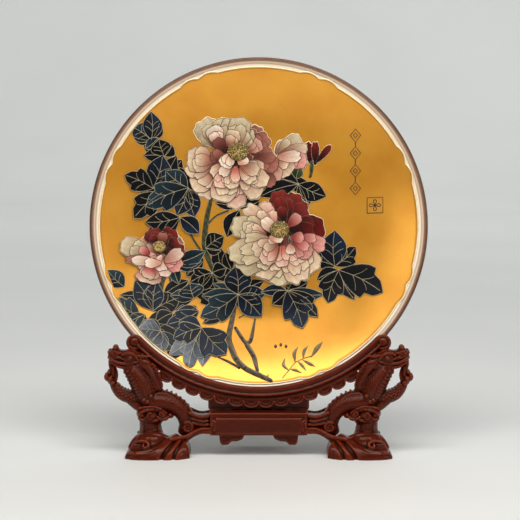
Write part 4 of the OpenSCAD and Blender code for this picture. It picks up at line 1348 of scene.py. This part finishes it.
def build_leaves(stack):
    """All leaf sprays: enamel leaflets with raised pale-gold outlines and veins."""
    parts, tones, lines = [], [], []

    def lay(foot, tip, width, form, colour, rim_r, mid_r):
        part, tone, rim, mid, veins = leaf(foot, tip, width, form, colour, stack.level(foot, tip, width))
        parts.append(part)
        tones.append(tone)
        lines.extend([face_line(rim, rim_r), face_line(mid, mid_r, 2)])
        return veins

    for x0, v0, x1, v1, width in SHADE_LEAVES:
        lay((x0, v0), (x1, v1), width, "lobed" if width > 13 else "oval", 0, 0.13, 0.13)
    for foot, sprays in LEAVES:
        for x, v, width, colour, *form in sprays:
            width *= 1.48 if width < 12 else 1.32
            tip = (foot[0] + (x - foot[0]) * 1.07, foot[1] + (v - foot[1]) * 1.07)
            veins = lay(foot, tip, width, form[0] if form else "oval", colour, 0.17, 0.18)
            if width > 14:
                lines += [face_line(vein, 0.12, 2) for vein in veins]
    place(tinted_object("leaves", parts, tones, LEAF_ENAMEL), "plate", "leaf_enamel", "leaf_relief")
    place(make_object("leaf_gold_lines", merge(lines), VEIN_GOLD, from_plate), "plate", "gilding")


def on_ground(stem):
    """A stem's rows of x, v, half-width, placed just above the gilt ground."""
    placed = on_face([q[:2] for q in stem], GROUND_TOP + 0.1)
    return [tuple(p) + (q[2],) for p, q in zip(placed, stem)]


def build_branches(stack):
    """Stems, knotty branches and the small sprig at the foot of the painting."""
    chance = random.Random(5)
    parts, tones = [], []
    for stem in STEMS:
        old = stem[0][1] < -55 and stem[0][0] > -40
        colour = (82, 70, 52) if old else (58, 62, 40)
        for a, b in zip(stem, stem[1:]):
            stack.level(a[:2], b[:2], 2 * max(a[2], b[2]))
        laid = on_ground(stem)
        body = tube(laid, 12, 0.28, 6, PLATE_AXIS)
        parts.append(body)
        shade = 1 + 0.25 * np.sin(body[0][:, 0] * 1.3 + body[0][:, 1] * 0.9)
        tones.append(solid_tint(body, colour) * shade[:, None])
        path = spline(laid, 6)
        direction = np.gradient(path[:, :2], axis=0)
        direction /= np.linalg.norm(direction, axis=1)[:, None]
        across = np.stack([-direction[:, 1], direction[:, 0]], axis=1)
        for side in (-0.8, 0.85):
            offset = np.column_stack([across * (path[:, 3] * side)[:, None], np.full(len(path), 0.12)])
            line = tube(with_last(path[:, :3] + offset, 0.2), 6, per_span=1, axis=PLATE_AXIS)
            parts.append(line)
            tones.append(solid_tint(line, (24, 18, 12) if side > 0 else (140, 130, 104)))
        if old:
            for _ in range(3):
                *at, r = chance.choice(laid)
                knot = blob((0, 0, 0), (r * 0.7, r * 0.9, 0.5), rings=8, sides=12)
                parts.append((knot[0] + at + [0, 0, 0.2], knot[1]))
                tones.append(solid_tint(knot, (58, 44, 24)))
    for twig in SPRIG:
        line = face_line([(x, v, GROUND_TOP + 0.1) for x, v, _ in twig], 0.24, 3)
        body = tube(on_ground(twig), 8, 0.4, 4, PLATE_AXIS)
        parts += [line, body]
        tones += [solid_tint(line, (84, 72, 52)), solid_tint(body, (118, 104, 74))]
    place(tinted_object("branches", parts, tones, BRANCH_ENAMEL), "plate", "branch_enamel", "branch_relief")


def build_ornament():
    """Abstract motifs beside the blossoms: linked lozenges, a framed quatrefoil and three dots."""
    lines = []
    lift = GROUND_TOP + 0.06
    for k in range(4):
        x, v = 75, 70 - 13.5 * k
        for w, h in ((4, 5), (1.6, 2)):
            lines.append(with_last([(x - w, v), (x, v + h), (x + w, v), (x, v - h), (x - w, v)], lift))
        if k < 3:
            lines.append([(x, v - 5, lift), (x, v - 8.5, lift)])
    x, v, h = 90, 16, 6
    square = [(x - h, v - h), (x - h, v + h), (x + h, v + h), (x + h, v - h), (x - h, v - h)]
    lines.append(with_last(square, lift))
    for turn in range(4):
        a = math.pi / 2 * turn
        loop = []
        for b in np.linspace(-math.pi, math.pi, 13):
            r = 2.3 + 2.0 * math.cos(b)
            loop.append((x + r * math.cos(a + 0.42 * math.sin(b)),
                         v + r * math.sin(a + 0.42 * math.sin(b)), lift))
        lines.append(loop)
    parts = [face_line(line, 0.34) for line in lines]
    for dx in (-4, 0, 4):
        dot = blob((0, 0, 0), (1.1, 1.5, 0.3), rings=8, sides=14)
        parts.append((on_face(dot[0][:, :2] + (17 + dx, -92 - abs(dx) * 0.3), lift + dot[0][:, 2]), dot[1]))
    tones = [solid_tint(part, (58, 40, 24)) for part in parts]
    place(tinted_object("ornament", parts, tones, BRANCH_ENAMEL), "plate", "branch_enamel")


def build_painting():
    """Everything painted on the gilt ground, from the back to the front."""
    stack = Stack()
    build_branches(stack)
    build_leaves(stack)
    for name, petals, seed in (("sepals", SEPALS, 4), ("bud", BUD, 21), ("third_blossom", THIRD_BLOSSOM, 33),
                               ("first_blossom", FIRST_BLOSSOM, 11), ("second_blossom", SECOND_BLOSSOM, 27)):
        build_blossom(name, petals, stack, seed)
    for name, x, v, radius, seed in (("first_stamens", -16, 58, 8.6, 1), ("second_stamens", 16, -3, 7.8, 2),
                                     ("third_stamens", -77, -16, 5, 3)):
        level = stack.level((x - radius, v), (x + radius, v), 2 * radius)
        build_stamens(name, (x, v), radius, level, seed)
    build_ornament()


# ---------------------------------------------------------------- putting the pieces on their bodies
def place(obj, body, slot, *nodes):
    """Attaches a piece to the body it rides on and hides the CAD nodes that it stands for; slot, its finish,
    is not used.
    """
    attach(obj, body)
    if nodes:
        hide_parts(*nodes)


def build_stand():
    """Carved, moulded and turned pieces of the stand, and its backrest."""
    wood = "lacquered_wood"
    place(fuse("rail", rail_parts(), 0.5, from_plate), "stand", wood, "cradle_rail")
    place(fuse("scallops", scallop_parts(), 0.42, from_plate), "stand", wood, "scalloped_apron")
    place(fuse("block", block_parts(), 0.5), "stand", wood, "centre_block")
    place(fuse("panel", panel_parts(), 0.42), "stand", wood, "front_panel")
    dragon = dragon_body() + dragon_head() + dragon_mane() + dragon_arm() + dragon_tail()
    carvings = (("dragon", dragon, 0.42), ("pedestal", pedestal_parts(), 0.42), ("foot", foot_parts(), 0.5),
                ("arch_rail", arch_rail_parts(), 0.45), ("corner_bracket", corner_bracket_parts(), 0.4))
    for name, parts, voxel in carvings:
        for side in ("right", "left"):
            shaped = parts if side == "right" else [mirrored(p) for p in parts]
            place(fuse(f"{side}_{name}_carving", shaped, voxel), "stand", wood, f"{side}_{name}")
    backrest = fuse("backrest_carving", backrest_parts(), 0.55, from_hinge)
    place(backrest, "backrest", wood, "backrest_panel")


def build_plate():
    """Porcelain, brown rim and gilt ground."""
    place(plate_body(), "plate", "porcelain", "plate_body")
    place(rim_glaze(), "plate", "brown_glaze", "rim_band")
    ground = make_object("gilt_ground", gilt_parts(), GILDING, from_plate)
    place(ground, "plate", "gilding", "gilt_face")
    place(make_object("gilt_edge_line", gilt_edge_line(), GOLD_LINE, from_plate), "plate", "gilding")


def dress_cad_nodes():
    """Procedural finishes for the CAD parts that are shown as they are."""
    finishes = {"dowels": WOOD, "hinge_bracket": BRASS, "thumb_nut": BRASS, "bracket_screws": STEEL,
                "hinge_pin": STEEL, "backrest_pads": FELT}
    for name, material in finishes.items():
        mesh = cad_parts[name].data
        mesh.materials.clear()
        mesh.materials.append(material)


# ---------------------------------------------------------------- camera, light and floor, metres
FLOOR_R = 2.5
COVE_R = 0.9
WALL_TOP = 3.4


def build_floor():
    """Pale paper: a round floor, then a wide curve up into a wall that goes all the way round."""
    line = [(0.0001, 0), (0.5, 0), (FLOOR_R, 0)]
    for a in np.radians(range(6, 91, 6)):
        line.append((FLOOR_R + COVE_R * math.sin(a), COVE_R - COVE_R * math.cos(a)))
    line.append((FLOOR_R + COVE_R, WALL_TOP))
    sectors = 96
    turn = np.arange(sectors) / sectors * 2 * math.pi
    verts = [(r * math.cos(a), r * math.sin(a), z) for r, z in line for a in turn]
    mesh = bpy.data.meshes.new("paper_floor")
    mesh.from_pydata(verts, [], grid_faces(len(line), sectors))
    mesh.polygons.foreach_set("use_smooth", [True] * len(mesh.polygons))
    mesh.materials.append(floor_paint())
    floor = bpy.data.objects.new("paper_floor", mesh)
    bpy.context.scene.collection.objects.link(floor)


def area_light(name, place_at, aim, size, power, colour):
    """Rectangular soft box, turned towards a point."""
    light = bpy.data.lights.new(name, "AREA")
    light.shape = "RECTANGLE"
    light.size, light.size_y = size
    light.energy = power
    light.color = colour
    obj = bpy.data.objects.new(name, light)
    obj.location = place_at
    obj.rotation_euler = (Vector(aim) - Vector(place_at)).to_track_quat("-Z", "Y").to_euler()
    bpy.context.scene.collection.objects.link(obj)


def build_light():
    """One wide soft box above and in front, weak side fills, and washes on the wall and the floor."""
    area_light("top_light", (0.0, -0.58, 1.27), (0, 0.0, 0.12), (1.7, 0.5), 15, (1, 0.985, 0.95))
    area_light("left_light", (-0.9, -0.98, 0.8), (0, 0, 0.15), (0.5, 0.9), 1.7, (0.97, 0.99, 1))
    area_light("right_light", (1.2, -0.9, 0.6), (0, 0, 0.15), (0.4, 0.8), 3, (1, 0.99, 0.98))
    area_light("paper_light", (0.4, 1.7, 2.4), (0.25, 3.2, 0.5), (2.6, 0.8), 33, (0.98, 1, 0.99))
    area_light("floor_light", (0.3, -1.6, 1.5), (0.15, -0.5, 0), (2.0, 0.8), 5.6, (1, 1, 0.99))
    world = bpy.data.worlds.new("room")
    world.use_nodes = True
    world.node_tree.nodes["Background"].inputs["Color"].default_value = (0.92, 0.95, 0.96, 1)
    world.node_tree.nodes["Background"].inputs["Strength"].default_value = 0.13
    bpy.context.scene.world = world


def build_camera():
    """Camera at the photograph's viewing angle."""
    camera = bpy.data.cameras.new("photo_camera")
    camera.lens = 135.5
    camera.sensor_width = 36
    camera.clip_end = 20
    obj = bpy.data.objects.new("photo_camera", camera)
    obj.location = (0.001, -1.4864, 0.3057)
    obj.rotation_euler = (math.radians(90 - 6.154), 0, 0)
    bpy.context.scene.collection.objects.link(obj)
    bpy.context.scene.camera = obj


build_stand()
build_plate()
build_painting()
dress_cad_nodes()
build_floor()
build_light()
build_camera()
bpy.context.scene.view_settings.view_transform = "Standard"
